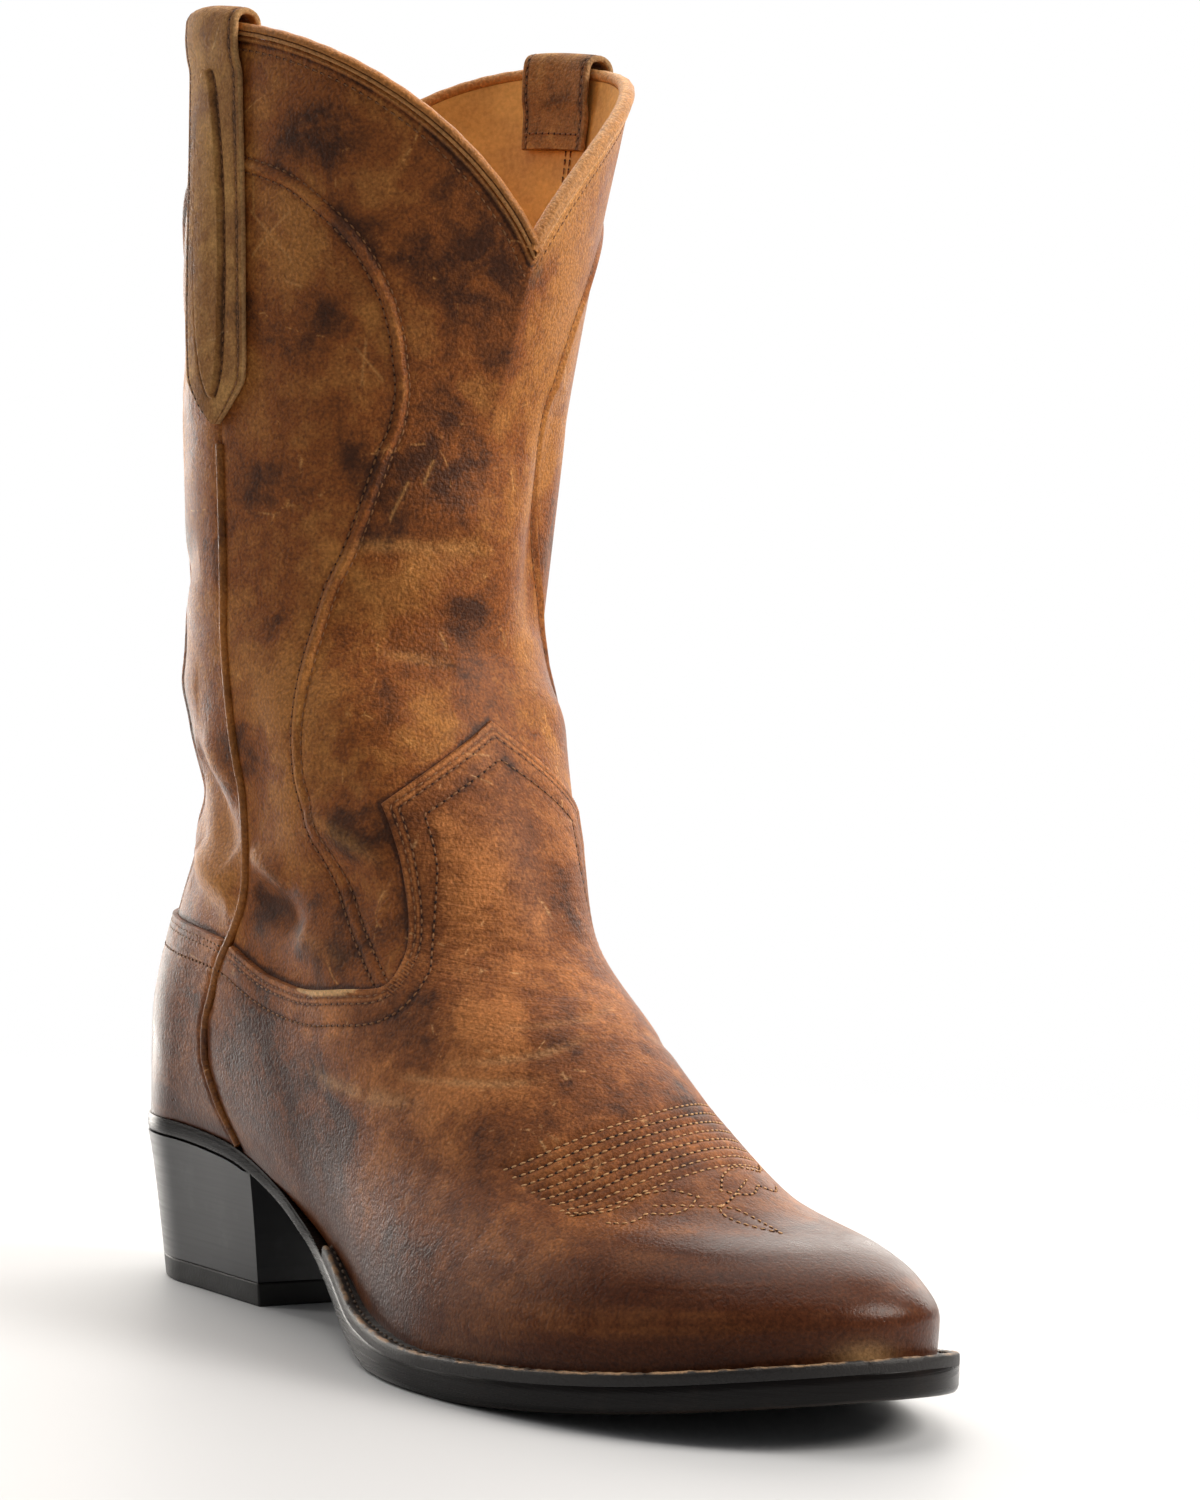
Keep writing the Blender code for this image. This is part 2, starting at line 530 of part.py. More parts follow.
def sole_plank(name, reach, top, bottom, bevel, material):
    (outer_y, inner_y), ends = half_outlines(reach)
    x = stations(ends)
    upper_z, lower_z = top(x), bottom(x)
    half_width = (inner_y(x) - outer_y(x)) / 2
    inset = np.minimum(bevel, 0.45 * half_width)
    layers = ((upper_z, inset), (upper_z - bevel, 0), (lower_z + bevel, 0), (lower_z, inset))
    sides = []
    for edge, sign in ((outer_y, 1), (inner_y, -1)):
        sides.append(np.stack([np.stack([x, edge(x) + sign * inward, z], 1) for z, inward in layers], 1))
    return plank(name, sides[0], sides[1], material)


sole_top = lambda x: from_table(SOLE_TOP, x)
sole_tread = lambda x: from_table(SOLE_TREAD, x)
sole_x = stations(half_outlines(sole_reach)[1])


def on_sole(curve, x):
    """Height of the built sole, which is straight between its stations."""
    return np.interp(x, sole_x, curve(sole_x))


sole_plank("outsole", sole_reach, lambda x: sole_top(x) - GAP, sole_tread, 0.8, SOLE)
sole_plank("insole", lambda x: np.full(x.shape, -INSOLE_INSET), lambda x: sole_top(x) + INSOLE_THICK,
           sole_top, 0.6, LINING)

# Welt: a strip on the sole's edge round the forefoot, outside the vamp
turn, edge_line = feather_offset(sole_reach)
_, inside_line = feather_offset(lambda x: np.full(x.shape, WELT_INSIDE))
feather = form(np.zeros(len(turn)), turn)
keep = np.where(feather[:, 0] > WELT_FROM)[0]
picks = keep[np.linspace(0, len(keep) - 1, 45).round().astype(int)]
sections = []
for i in picks:
    out, inn = edge_line[i], inside_line[i]
    into = (inn - out) / np.linalg.norm(inn - out)
    base_out, base_in = on_sole(sole_top, out[0]), on_sole(sole_top, inn[0])
    wall, shoulder = out + into * 0.2, out + into * 0.9
    sections.append([(*inn, base_in), (*wall, base_out), (*wall, base_out + WELT_THICK - 0.7),
                     (*shoulder, base_out + WELT_THICK), (*inn, base_in + WELT_THICK)])
sweep("welt", np.array(sections), SOLE, False)

# Heel: stacked block under the seat with a rubber top lift
(seat_out, seat_in), seat_ends = half_outlines(lambda x: sole_reach(x) - 0.3)
seat_x = stations(seat_ends, hi=HEEL_BREAST_TOP)
seat_share = (seat_x - seat_ends[0]) / (HEEL_BREAST_TOP - seat_ends[0])
foot_x = HEEL_BACK_FOOT + seat_share * (HEEL_BREAST_FOOT - HEEL_BACK_FOOT)


def heel_layers(heights):
    """Edge of the heel at shares of its height (0 seat, 1 floor), outer and inner side."""
    top_z = on_sole(sole_tread, seat_x) - GAP
    sides = []
    for edge in (seat_out, seat_in):
        layers = []
        for down in heights:
            slope = down ** 0.85
            x = seat_x + (foot_x - seat_x) * slope
            y = edge(seat_x) * (1 + (HEEL_TAPER - 1) * slope)
            layers.append(np.stack([x, y, top_z * (1 - down)], 1))
        sides.append(np.stack(layers, 1))
    return sides


def cut_flat(sides, layer, z):
    for side in sides:
        side[:, layer, 2] = z
    return sides


seat_z = float(sole_tread(40.0))
stack = cut_flat(heel_layers((0.0, 0.3, 0.6, 1 - (HEEL_LIFT + GAP) / seat_z)), -1, HEEL_LIFT + GAP)
plank("heel_stack", stack[0], stack[1], SOLE)
lift = heel_layers((1 - HEEL_LIFT / seat_z, 1.0))
cut_flat(cut_flat(lift, 0, HEEL_LIFT), -1, 0.0)
plank("heel_top_lift", lift[0], lift[1], RUBBER)

# Origin on the floor under the middle of the boot's box
bpy.context.view_layer.update()
corners = np.array([v.co for ob in boot.objects if ob.type == "MESH" for v in ob.data.vertices])
middle = (corners.min(0) + corners.max(0)) / 2
stand.location = (-middle[0], -middle[1], -corners[:, 2].min())
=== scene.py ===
"""Looks of a worn right western boot: waxed leather panels with their seams, folds and stitching.

Lengths are in millimetres in the last's own frame (x heel to toe, y to the inner side, z up from
the floor) until a mesh is made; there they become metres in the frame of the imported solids.
A place on the upper is (turn, ring): turn goes round the boot (0 back, 1 outer seam, 2 front,
3 inner seam), ring goes up it (row of RINGS, 0 at the sole and 13 at the collar).
"""
import math

import bmesh
import bpy
import numpy as np
from mathutils import Matrix, Vector
from mathutils.geometry import delaunay_2d_cdt
from mathutils.kdtree import KDTree


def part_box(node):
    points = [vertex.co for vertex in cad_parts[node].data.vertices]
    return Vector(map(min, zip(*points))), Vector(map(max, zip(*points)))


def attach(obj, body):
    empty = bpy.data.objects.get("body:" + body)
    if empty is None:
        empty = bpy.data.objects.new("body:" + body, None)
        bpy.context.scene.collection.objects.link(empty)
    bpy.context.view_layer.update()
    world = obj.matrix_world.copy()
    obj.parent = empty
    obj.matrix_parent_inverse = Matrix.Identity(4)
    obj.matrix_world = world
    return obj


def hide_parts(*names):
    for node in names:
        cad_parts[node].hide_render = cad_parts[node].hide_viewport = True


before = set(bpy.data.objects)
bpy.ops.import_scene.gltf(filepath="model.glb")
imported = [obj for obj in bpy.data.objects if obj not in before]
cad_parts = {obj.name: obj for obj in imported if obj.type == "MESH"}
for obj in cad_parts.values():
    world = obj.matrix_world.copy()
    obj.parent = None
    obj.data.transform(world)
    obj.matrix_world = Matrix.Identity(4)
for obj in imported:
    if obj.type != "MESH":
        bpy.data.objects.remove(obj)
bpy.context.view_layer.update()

MM = 0.001

# The last, as in the solids
LEAN_DEG = 0.9         # the shaft leans to the inner side, above a height
LEAN_FROM = 130.0
TOE_SWING = 4.0        # the toe swings to the inner side
SCALLOP = 2.35         # power of the collar's curve from its dips up to the side seams
RING_COLUMNS = ("back_x", "back_z", "seam_x", "front_x", "front_z", "heel", "waist_out", "waist_in",
                "ball_out", "ball_in", "nose", "back", "power", "follow", "rise_out", "rise_in")
RINGS = {
    "feather":    (-4.5, 45.5, 71.0, 300.7, 16.7, 29.0, 31.5, 27.0, 54.5, 47.5, 92, 34, 2.05, 1.00, 0, 0),
    "bulge":      (-2.0, 58.0, 62.0, 301.2, 27.5, 32.5, 36.5, 31.5, 53.5, 49.0, 92, 38, 2.00, 0.95, 0, 0),
    "toe wall":   (-1.5, 70.0, 57.0, 295.2, 34.5, 34.0, 38.0, 35.0, 51.0, 48.0, 92, 40, 2.00, 0.85, 0, 0),
    "toe top":    (-0.5, 80.0, 58.0, 283.0, 39.7, 34.5, 38.5, 37.0, 47.0, 45.0, 94, 40, 2.05, 0.70, 0, 0),
    "vamp low":   (1.0, 90.0, 63.0, 258.5, 44.3, 34.5, 38.5, 38.0, 43.5, 42.0, 95, 42, 2.05, 0.50, 0, 0),
    "vamp mid":   (4.5, 101.0, 67.0, 228.0, 61.0, 34.5, 38.5, 38.0, 41.5, 39.0, 95, 44, 2.00, 0.30, 0, 0),
    "vamp high":  (9.5, 112.0, 74.0, 197.0, 81.5, 35.0, 38.5, 38.0, 40.0, 38.0, 84, 46, 2.00, 0.15, 0, 0),
    "instep":     (14.5, 124.0, 80.0, 167.0, 102.0, 35.5, 39.0, 39.0, 40.0, 39.0, 70, 50, 2.00, 0.05, 0, 0),
    "throat":     (19.0, 138.0, 81.0, 150.5, 132.0, 37.0, 41.5, 41.0, 42.0, 42.0, 52, 54, 2.00, 0.00, 0, 0),
    "ankle":      (16.0, 158.0, 77.0, 136.0, 158.0, 43.0, 45.0, 44.0, 44.0, 45.0, 42, 56, 2.00, 0.00, 0, 0),
    "low shaft":  (16, 190, 74.5, 125, 189, 48, 48.5, 48, 48, 48, 56, 55, 1.85, 0, 3.3, 3.8),
    "mid shaft":  (14, 233.3, 74.5, 126, 228, 53, 53.5, 53, 53, 53.5, 59, 57, 1.9, 0, 13.2, 15),
    "high shaft": (13.5, 271, 75.5, 134.5, 259, 57, 57, 57, 56.5, 57.5, 63, 61, 1.85, 0, 29.6, 33.8),
    "collar":     (13.5, 302.5, 76, 142, 282, 59, 59, 59, 57.5, 60.5, 62, 63, 1.8, 0, 47.7, 54.5),
}
STATIONS = (0.0, 0.12, 0.38, 0.69, 1.0)     # share of a ring's length: back, heel, waist, ball, front
TOP_RING = float(len(RINGS) - 1)

SOLE_TOP = {-12: 45.5, 30: 45.2, 62: 43.0, 95: 34.0, 130: 19.2, 165: 8.7, 200: 6.6, 235: 8.1, 265: 11.0,
            300: 16.8, 312: 19.2}
SOLE_TREAD = {-12: 40.5, 30: 40.2, 62: 38.2, 95: 29.4, 130: 13.8, 160: 3.0, 178: 0.0, 214: 0.0, 240: 1.7,
              265: 4.6, 300: 10.4, 312: 12.8}
SOLE_REACH = {-12: 2.2, 60: 2.2, 85: 1.8, 112: 4.0, 135: 6.2, 160: 7.0, 240: 6.6, 312: 7.2}
WELT_FROM = 128.0      # x where the welt starts on both sides
WELT_THICK = 3.0
INSOLE_INSET = 3.3
INSOLE_THICK = 3.0
HEEL_LIFT = 6.5
HEEL_BREAST_TOP = 78.0
HEEL_BREAST_FOOT = 81.0
HEEL_BACK_FOOT = 5.0
HEEL_TAPER = 0.905

# Leather
SHAFT_SKIN = 1.2
LINING_OUT = -1.25     # the lining's outer and inner face, from the upper's face
LINING_IN = -2.4
VAMP_SKIN = 1.55       # height of the vamp's face over the shaft
SEAM_SLOT = 1.85       # half width of the gap that the seam's cord lies in
SEAM_CORD = 1.3        # radius of the cord
# Bow of the side seam towards the heel
SEAM_BOW = {"ring": (0.0, 2.0, 3.0, 4.0, 5.0, 5.75, 13.0), "back": (0.0, 0.0, 0.4, 2.4, 1.2, 0.3, 0.0)}
STRAP = 2.0            # thickness of a pull strap
STRAP_HALF = 14.0      # half its width
STRAP_TURN_TOP = 0.94  # turn of its middle at the collar
STRAP_TIP = 10.86      # ring of its point
# Section of the collar's roll: out from the upper's face, up from its rim; a fine ridge below the roll
ROLL_SECTION = ((-0.2, 0.05), (0.55, 0.1), (0.85, 0.45), (0.80, 0.95), (0.45, 1.22), (0.85, 1.45),
                (1.1, 1.95), (0.9, 2.6), (0.3, 3.15), (-0.6, 3.4), (-1.7, 3.4), (-2.6, 3.1),
                (-3.2, 2.4), (-3.3, 1.5), (-2.9, 0.7), (-2.3, 0.1))
ROLL_GROOVE = 4        # point of the section that lies in the groove
ROLL_INSIDE = 10       # first point that faces the lining
# Outer leg of a strap (share of its full width), its loop over the rim (out, up) and its inner leg
STRAP_LEG = {"ring": (10.86, 10.97, 11.12, 11.4, 11.8, 12.2, 12.55, 12.78),
             "share": (0.07, 0.55, 0.96, 1.0, 1.0, 1.0, 1.0, 1.0)}
STRAP_LOOP = ((2.2, -5.0), (2.7, 0.0), (2.6, 3.6), (1.3, 5.9), (-1.2, 6.7), (-3.8, 5.9), (-5.1, 3.6),
              (-5.1, 0.0), (-4.7, -6.0))
STRAP_INNER_RINGS = (12.78, 12.68, 12.57)

# Pattern lines on the outer side, mirrored to the inner side by turn = 4 - turn
VAMP_LINE = {"turn": (1.00, 1.09, 1.175, 1.315, 1.42, 1.49, 1.54, 1.57, 1.58, 1.575, 1.565),
             "ring": (5.75, 5.65, 5.75, 6.05, 6.25, 6.60, 6.95, 7.35, 7.70, 7.95, 8.20)}
TONGUE_PEAK = 9.10
COUNTER_LINE = {"turn": (0.0, 0.35, 0.66, 1.0), "ring": (5.30, 5.38, 5.50, 5.75)}
# Corded ornament line down the front of the shaft, from the pull strap to the vamp
FRONT_CORD = {"turn": (1.04, 1.08, 1.245, 1.36, 1.45, 1.53, 1.60, 1.645, 1.665, 1.655, 1.625, 1.565, 1.495,
                       1.43, 1.385, 1.35, 1.31, 1.29, 1.295, 1.325, 1.365, 1.395, 1.42),
              "ring": (12.26, 12.25, 12.20, 12.10, 12.0, 11.85, 11.65, 11.4, 11.2, 11.0, 10.85, 10.55, 10.25,
                       10.0, 9.6, 9.15, 8.7, 8.35, 8.05, 7.65, 7.3, 6.85, 6.2)}
BACK_CORD = {"turn": (0.90, 0.78, 0.62, 0.48, 0.40, 0.38, 0.42, 0.50, 0.56, 0.58, 0.55, 0.50, 0.47),
             "ring": (12.22, 12.16, 12.0, 11.7, 11.35, 11.0, 10.5, 10.0, 9.4, 8.7, 7.8, 6.8, 5.45)}

# Folds: start and end (turn, ring), half width, height (troughs are negative), wear (pale crest)
FOLD_COLUMNS = ("turn", "ring", "to_turn", "to_ring", "width", "height", "wear")
FOLDS = (
    # across the front of the shaft
    (1.46, 10.28, 2.02, 10.44, 4.5, -1.1, 0.9),
    (1.55, 10.52, 2.10, 10.66, 7.0, 0.9, 0.0),
    (1.50, 10.02, 2.00, 10.10, 6.0, 0.7, 0.0),
    (1.62, 9.62, 1.90, 9.58, 3.5, -0.7, 0.7),
    (1.40, 9.35, 1.75, 9.05, 9.0, 0.8, 0.0),
    # soft pinch on the inner front
    (2.40, 11.3, 2.42, 9.8, 9.0, -3.2, 0.0),
    (2.12, 11.0, 2.10, 9.7, 8.0, 1.4, 0.0),
    (2.75, 11.0, 2.70, 9.6, 10.0, 1.2, 0.0),
    (2.10, 9.35, 2.55, 9.20, 7.0, 1.2, 0.0),
    # ankle, outer side
    (1.29, 8.05, 1.53, 7.62, 5.0, 1.9, 0.5),
    (1.28, 7.62, 1.47, 7.22, 6.5, -1.9, 0.0),
    (1.34, 8.45, 1.52, 8.25, 6.0, -1.0, 0.0),
    (1.03, 7.02, 1.22, 6.70, 5.0, -3.6, 0.0),
    (1.02, 7.50, 1.17, 7.22, 4.0, 2.2, 0.6),
    (1.16, 6.70, 1.34, 6.45, 6.0, 1.2, 0.3),
    (0.66, 8.60, 0.93, 7.35, 6.5, -4.2, 0.0),
    (0.80, 8.75, 0.97, 8.20, 6.0, 1.4, 0.3),
    (0.62, 7.05, 0.95, 6.75, 5.5, 2.8, 0.4),
    (0.60, 6.45, 0.93, 6.30, 4.0, -1.2, 0.0),
    (0.50, 7.80, 0.66, 7.10, 6.0, 1.6, 0.0),
    # ankle, inner side
    (2.71, 8.05, 2.47, 7.62, 5.0, 1.7, 0.45),
    (2.72, 7.62, 2.53, 7.22, 6.5, -1.7, 0.0),
    (2.95, 6.98, 2.80, 6.72, 6.5, -2.2, 0.0),
    (3.32, 8.40, 3.10, 7.35, 7.0, -3.0, 0.0),
    (3.38, 6.95, 3.05, 6.65, 5.0, 1.8, 0.3),
    # back of the shaft
    (0.42, 10.05, 0.85, 10.20, 6.0, -1.5, 0.3),
    (0.40, 9.40, 0.80, 9.25, 7.0, 1.3, 0.0),
    (-0.35, 8.60, 0.35, 8.55, 6.0, -1.2, 0.3),
    (-0.35, 9.10, 0.30, 9.15, 8.0, 0.9, 0.0),
    (3.20, 10.00, 3.60, 10.15, 7.0, -1.4, 0.3),
    (0.55, 11.5, 0.80, 11.1, 10.0, -1.2, 0.0),
    # bend of the vamp
    (1.50, 5.45, 1.92, 6.05, 2.6, -0.50, 0.6),
    (1.40, 5.15, 1.72, 5.50, 2.4, -0.40, 0.7),
    (1.58, 5.95, 2.20, 6.45, 2.6, -0.45, 0.3),
    (1.66, 6.35, 2.30, 6.75, 2.2, -0.40, 0.0),
    (1.70, 6.90, 2.25, 7.10, 2.2, -0.35, 0.0),
    (2.10, 6.10, 2.50, 5.60, 2.6, -0.50, 0.4),
    (1.20, 4.60, 1.45, 4.90, 5.0, -0.5, 0.5),
)

# Dark blotches of wax and dye, and light rubbed ones (negative): middle (turn, ring), radius, strength
BLOTCHES = (
    (1.375, 12.60, 12, 0.8), (1.24, 12.35, 6, 0.6), (1.55, 12.72, 9, 0.5), (1.69, 12.60, 12, 0.6),
    (1.80, 12.15, 14, 1.0), (1.91, 11.95, 13, 0.9), (1.47, 11.95, 9, 0.7), (1.40, 11.40, 10, 0.8),
    (1.14, 11.55, 8, 0.6), (1.49, 10.75, 10, 0.6), (1.76, 10.82, 17, 1.0), (1.68, 10.55, 10, 0.8),
    (1.96, 10.02, 12, 0.6), (2.06, 11.10, 10, 0.6), (1.65, 9.25, 14, 0.8), (1.98, 9.45, 10, 0.6),
    (1.05, 8.80, 10, 0.8), (1.46, 7.85, 9, 0.9), (1.07, 6.80, 10, 0.9), (1.28, 6.40, 13, 0.8),
    (1.25, 9.75, 8, 0.5), (1.18, 10.60, 9, 0.5), (1.08, 4.70, 20, 0.9), (1.95, 8.35, 10, 0.4),
    (2.05, 7.55, 10, 0.3), (1.76, 5.85, 12, 0.3), (1.25, 4.65, 16, 0.5), (1.57, 5.30, 14, -0.7),
    (1.16, 2.10, 21, 0.7), (1.38, 2.00, 21, 0.7), (1.31, 0.90, 18, 0.8), (1.59, 7.10, 6, 0.5),
    (2.20, 12.30, 15, -0.8), (2.42, 11.60, 15, -0.8), (2.42, 10.95, 14, -0.8), (2.75, 11.80, 15, 0.5),
    (2.70, 10.30, 14, 0.5), (2.85, 9.60, 16, 0.5), (2.60, 8.90, 13, 0.5), (2.90, 7.20, 13, 0.55),
    (2.70, 5.10, 18, 0.5), (2.85, 3.00, 23, 0.5),
    (0.75, 11.90, 14, 0.5), (0.35, 11.60, 17, 0.55), (0.70, 10.40, 13, 0.45), (0.10, 10.30, 18, 0.55),
    (0.55, 9.00, 13, 0.5), (3.60, 9.30, 17, 0.55), (3.40, 11.40, 17, 0.55), (3.75, 10.9, 13, 0.45),
    (0.25, 7.60, 14, 0.5), (3.45, 7.50, 14, 0.5), (0.60, 4.00, 23, 0.45), (3.40, 3.60, 23, 0.45),
    (1.245, 12.10, 8, -0.7), (1.465, 11.55, 8, -0.8), (1.305, 11.75, 8, -0.6), (1.525, 12.35, 7, -0.6),
    (1.465, 10.20, 10, -0.5), (2.0, 11.40, 10, -0.8), (1.355, 9.20, 12, -0.6), (1.295, 8.30, 10, -0.6),
    (1.765, 9.25, 10, -0.7), (1.80, 7.70, 14, -0.8), (1.64, 6.10, 10, -0.5), (1.90, 6.60, 9, 0.25),
    (1.28, 5.70, 9, -0.6), (2.0, 5.75, 9, -0.5), (1.70, 10.15, 12, -0.4), (1.20, 9.30, 12, -0.5),
    (2.30, 9.80, 14, -0.6), (2.85, 10.6, 12, -0.6), (0.55, 10.9, 13, -0.7), (0.20, 9.2, 13, -0.6),
    (3.60, 10.2, 13, -0.7), (2.45, 6.6, 11, -0.6), (0.85, 7.0, 10, -0.6), (1.12, 6.05, 9, -0.7),
)
# Pale scratches: start and end (turn, ring)
SCRATCHES = (
    (1.13, 11.98, 1.275, 11.76), (1.26, 12.01, 1.14, 11.75), (1.133, 12.2, 1.138, 11.98),
    (1.265, 11.64, 1.31, 11.63), (1.535, 11.42, 1.533, 11.21), (1.51, 11.37, 1.59, 11.26),
    (1.70, 10.70, 1.643, 10.49), (1.755, 10.72, 1.785, 10.87), (2.125, 10.89, 2.143, 10.78),
    (1.84, 9.81, 1.865, 9.71), (2.35, 11.6, 2.44, 11.3), (0.40, 10.6, 0.52, 10.4), (-0.60, 11.1, -0.70, 10.9),
)

# Stitching
PITCH = 2.5                # needle holes of the shaft and vamp seams
TOE_PITCH = 2.3
WELT_PITCH = 3.4
VAMP_ROWS = (2.0, 3.8, 9.4)    # rows in from the edge of vamp and counter
CORD_ROW = 1.9             # rows beside a corded line
COLLAR_ROW = 3.6           # row below the collar's rim
STRAP_ROW = 0.86           # rows along a strap, as a share of its half width
STRIP_HALF = 0.44          # half width of a strap's raised strip, as a share
SCROLL_PITCH = 2.0
THREAD_SHARE = 0.74        # a stitch's length, as a share of the pitch
THREAD_HEIGHT = 0.5
HOLE_HEIGHT = 0.3

# Mesh of the panels: distance between points, and where another panel hides it
VAMP_MESH, COUNTER_MESH, SHAFT_MESH, HIDDEN_MESH = 1.5, 1.8, 1.6, 5.0

# Relief and wear
CORD_RIDGE = (0.95, 1.15)  # height and width of a corded line
RIM_RIDGE = 0.8            # fine ridge and groove below the collar's rim
RIM_GROOVE = 1.75
SEAM_DIP = (0.8, 2.2)      # depth and reach of the shaft's dip at its side seams
# Pale crescent of cut leather on the vamp's edge, painted extra pale as highlight on its top face
RAW_EDGE = {"turn": 1.275, "half": 0.085, "width": 1.75}
# Pale scuff on the tip of the toe
TOE_SCUFF = {"ring": 0.35, "turn": 1.95, "size": (6, 6, 2.8)}
VAMP_BEND = (6.9, 1.25)    # ring and half height of the fine creases
POLISH_TOE = (225, 60)     # x where the toe's burnish starts, and how far on it is full
POLISH_LOW = 56            # height above the sole that its burnish reaches
LASTED_GAP = 0.06          # underside of vamp and counter over the shaft
STRIP_HEIGHT = 1.1         # raised strip on a pull strap
SPINE_HEEL = 26.0          # a board's middle line stops this far from its heel and toe ends
SPINE_TOE = 48.0
BOARD_ROWS = (1.0, 0.75, 0.5, 0.25)    # rows of a board's face, from its middle line to its edge

# The photo's camera, in the last's frame
CAMERA_AT = (912.0, -530.0, 153.0)
CAMERA_TURN_DEG = 53.9
CAMERA_UP_DEG = -0.1
CAMERA_ROLL_DEG = 2.67
CAMERA_LENS = 85.8
CAMERA_SENSOR = 36

# The studio, in metres
WARM_WHITE = "#fff9f1"     # colour of the lights
FILL_LIGHT = 0.20          # white world as it lights the boot; the camera sees it at full strength
FLOOR_RADIUS = 1.6
FLOOR_FADE = (0.22, 0.8)   # the floor fades to white between these distances


# Small tools
def rising(x, start, over):
    """From 0 at the start to 1 after a distance."""
    return np.clip((x - start) / over, 0, 1)


def falling(x, end, over):
    return np.clip((end - x) / over, 0, 1)


def bell(gap, width):
    """One on a line, falling softly to nothing beyond the width."""
    return np.exp(-(gap / width) ** 2)


def unit(v):
    return v / np.linalg.norm(v, axis=-1, keepdims=True)


def run_length(p):
    """Length along a row of points, from its start."""
    return np.concatenate([[0], np.cumsum(np.linalg.norm(np.diff(p, axis=0), axis=1))])


def tree_of(points):
    tree = KDTree(len(points))
    for k, p in enumerate(points):
        tree.insert(p, k)
    tree.balance()
    return tree


def distances(tree, points):
    return np.array([tree.find(p)[2] for p in points])


# The upper's form
def through(xs, ys, x):
    """Smooth curve through the points that never overshoots them (ys may have columns)."""
    xs = np.asarray(xs, float)
    ys = np.asarray(ys, float)
    x = np.clip(np.asarray(x, float), xs[0], xs[-1])
    step = np.diff(xs)
    wide = (slice(None),) + (None,) * (ys.ndim - 1)
    rise = np.diff(ys, axis=0) / step[wide]
    slope = np.zeros_like(ys)
    before, after = rise[:-1], rise[1:]
    same = before * after > 0
    slope[1:-1] = np.where(same, 2 * before * after / np.where(same, before + after, 1), 0)
    slope[0], slope[-1] = rise[0], rise[-1]
    i = np.clip(np.searchsorted(xs, x, side="right") - 1, 0, len(xs) - 2)
    tall = (...,) + (None,) * (ys.ndim - 1)
    t = ((x - xs[i]) / step[i])[tall]
    h = step[i][tall]
    return ((1 + 2 * t) * (1 - t) ** 2 * ys[i] + t * (1 - t) ** 2 * h * slope[i]
            + t * t * (3 - 2 * t) * ys[i + 1] + t * t * (t - 1) * h * slope[i + 1])


def from_table(table, x):
    return through(list(table), list(table.values()), x)


RING_TABLE = np.array(list(RINGS.values()), float)


def along(values, share):
    """Half width along a ring from its values at the stations."""
    out = values[0]
    for k in range(len(STATIONS) - 1):
        t = rising(share, STATIONS[k], STATIONS[k + 1] - STATIONS[k])
        out = out + (values[k + 1] - values[k]) * t * t * (3 - 2 * t)
    return out


def leaned(p):
    """Points of the upright last, with the shaft leaned to the inner side."""
    tilt = np.radians(LEAN_DEG) * rising(p[..., 2], LEAN_FROM, 60)
    up = np.maximum(p[..., 2] - LEAN_FROM, 0)
    y = p[..., 1] * np.cos(tilt) + up * np.sin(tilt)
    z = p[..., 2] + up * (np.cos(tilt) - 1) - p[..., 1] * np.sin(tilt)
    return np.stack([p[..., 0], y, z], -1)


def form(ring, turn):
    """Point of the upper's outer face."""
    ring, turn = np.broadcast_arrays(np.asarray(ring, float), np.mod(np.asarray(turn, float), 4))
    side = np.where(turn <= 2, -1.0, 1.0)
    a = np.where(turn <= 2, turn, 4 - turn)
    row = through(np.arange(len(RING_TABLE)), RING_TABLE, ring)
    c = {name: row[..., k] for k, name in enumerate(RING_COLUMNS)}
    length = c["front_x"] - c["back_x"]
    seam = (c["seam_x"] - c["back_x"]) / length
    share = np.where(a < 1, seam * (1 - np.cos(np.clip(a, 0, 1) * np.pi / 2)),
                     seam + (1 - seam) * np.sin(np.clip(a - 1, 0, 1) * np.pi / 2))
    x = c["back_x"] + share * length
    foot = {name: RING_TABLE[0][k] for k, name in enumerate(RING_COLUMNS)}
    foot_x = foot["back_x"] + share * (foot["front_x"] - foot["back_x"])
    sag = from_table(SOLE_TOP, foot_x) - (foot["back_z"] + (foot["front_z"] - foot["back_z"]) * share)
    to_seam = np.where(a < 1, a, 2 - a)
    rise = np.where(side < 0, c["rise_out"], c["rise_in"])
    z = (c["back_z"] + (c["front_z"] - c["back_z"]) * share + c["follow"] * sag
         + rise * (1 - (1 - to_seam) ** SCALLOP))
    outer = along((c["heel"], c["heel"], c["waist_out"], c["ball_out"], c["ball_out"]), share)
    inner = along((c["heel"], c["heel"], c["waist_in"], c["ball_in"], c["ball_in"]), share)
    back_end = 1 - np.clip(share * length / c["back"], 0, 1)
    front_end = 1 - np.clip((1 - share) * length / c["nose"], 0, 1)
    rounding = np.sqrt(1 - back_end ** 2) * (1 - front_end ** c["power"]) ** (1 / c["power"])
    swing = TOE_SWING * rising(x, 150, 150) ** 2
    y = side * np.where(side < 0, outer, inner) * rounding + swing
    return leaned(np.stack([x, y, z], -1))


def slopes(ring, turn):
    """How the form's point moves per ring and per turn."""
    dr, dt = 0.02, 0.01
    ring = np.asarray(ring, float)
    lo, hi = np.clip(ring - dr, 0, TOP_RING), np.clip(ring + dr, 0, TOP_RING)
    per_ring = (form(hi, turn) - form(lo, turn)) / (hi - lo)[..., None]
    per_turn = (form(ring, np.asarray(turn) + dt) - form(ring, np.asarray(turn) - dt)) / (2 * dt)
    return per_ring, per_turn


def frame_at(ring, turn):
    """Point, unit normal outwards, and unit direction up the boot."""
    per_ring, per_turn = slopes(ring, turn)
    return form(ring, turn), unit(np.cross(per_turn, per_ring)), unit(per_ring)


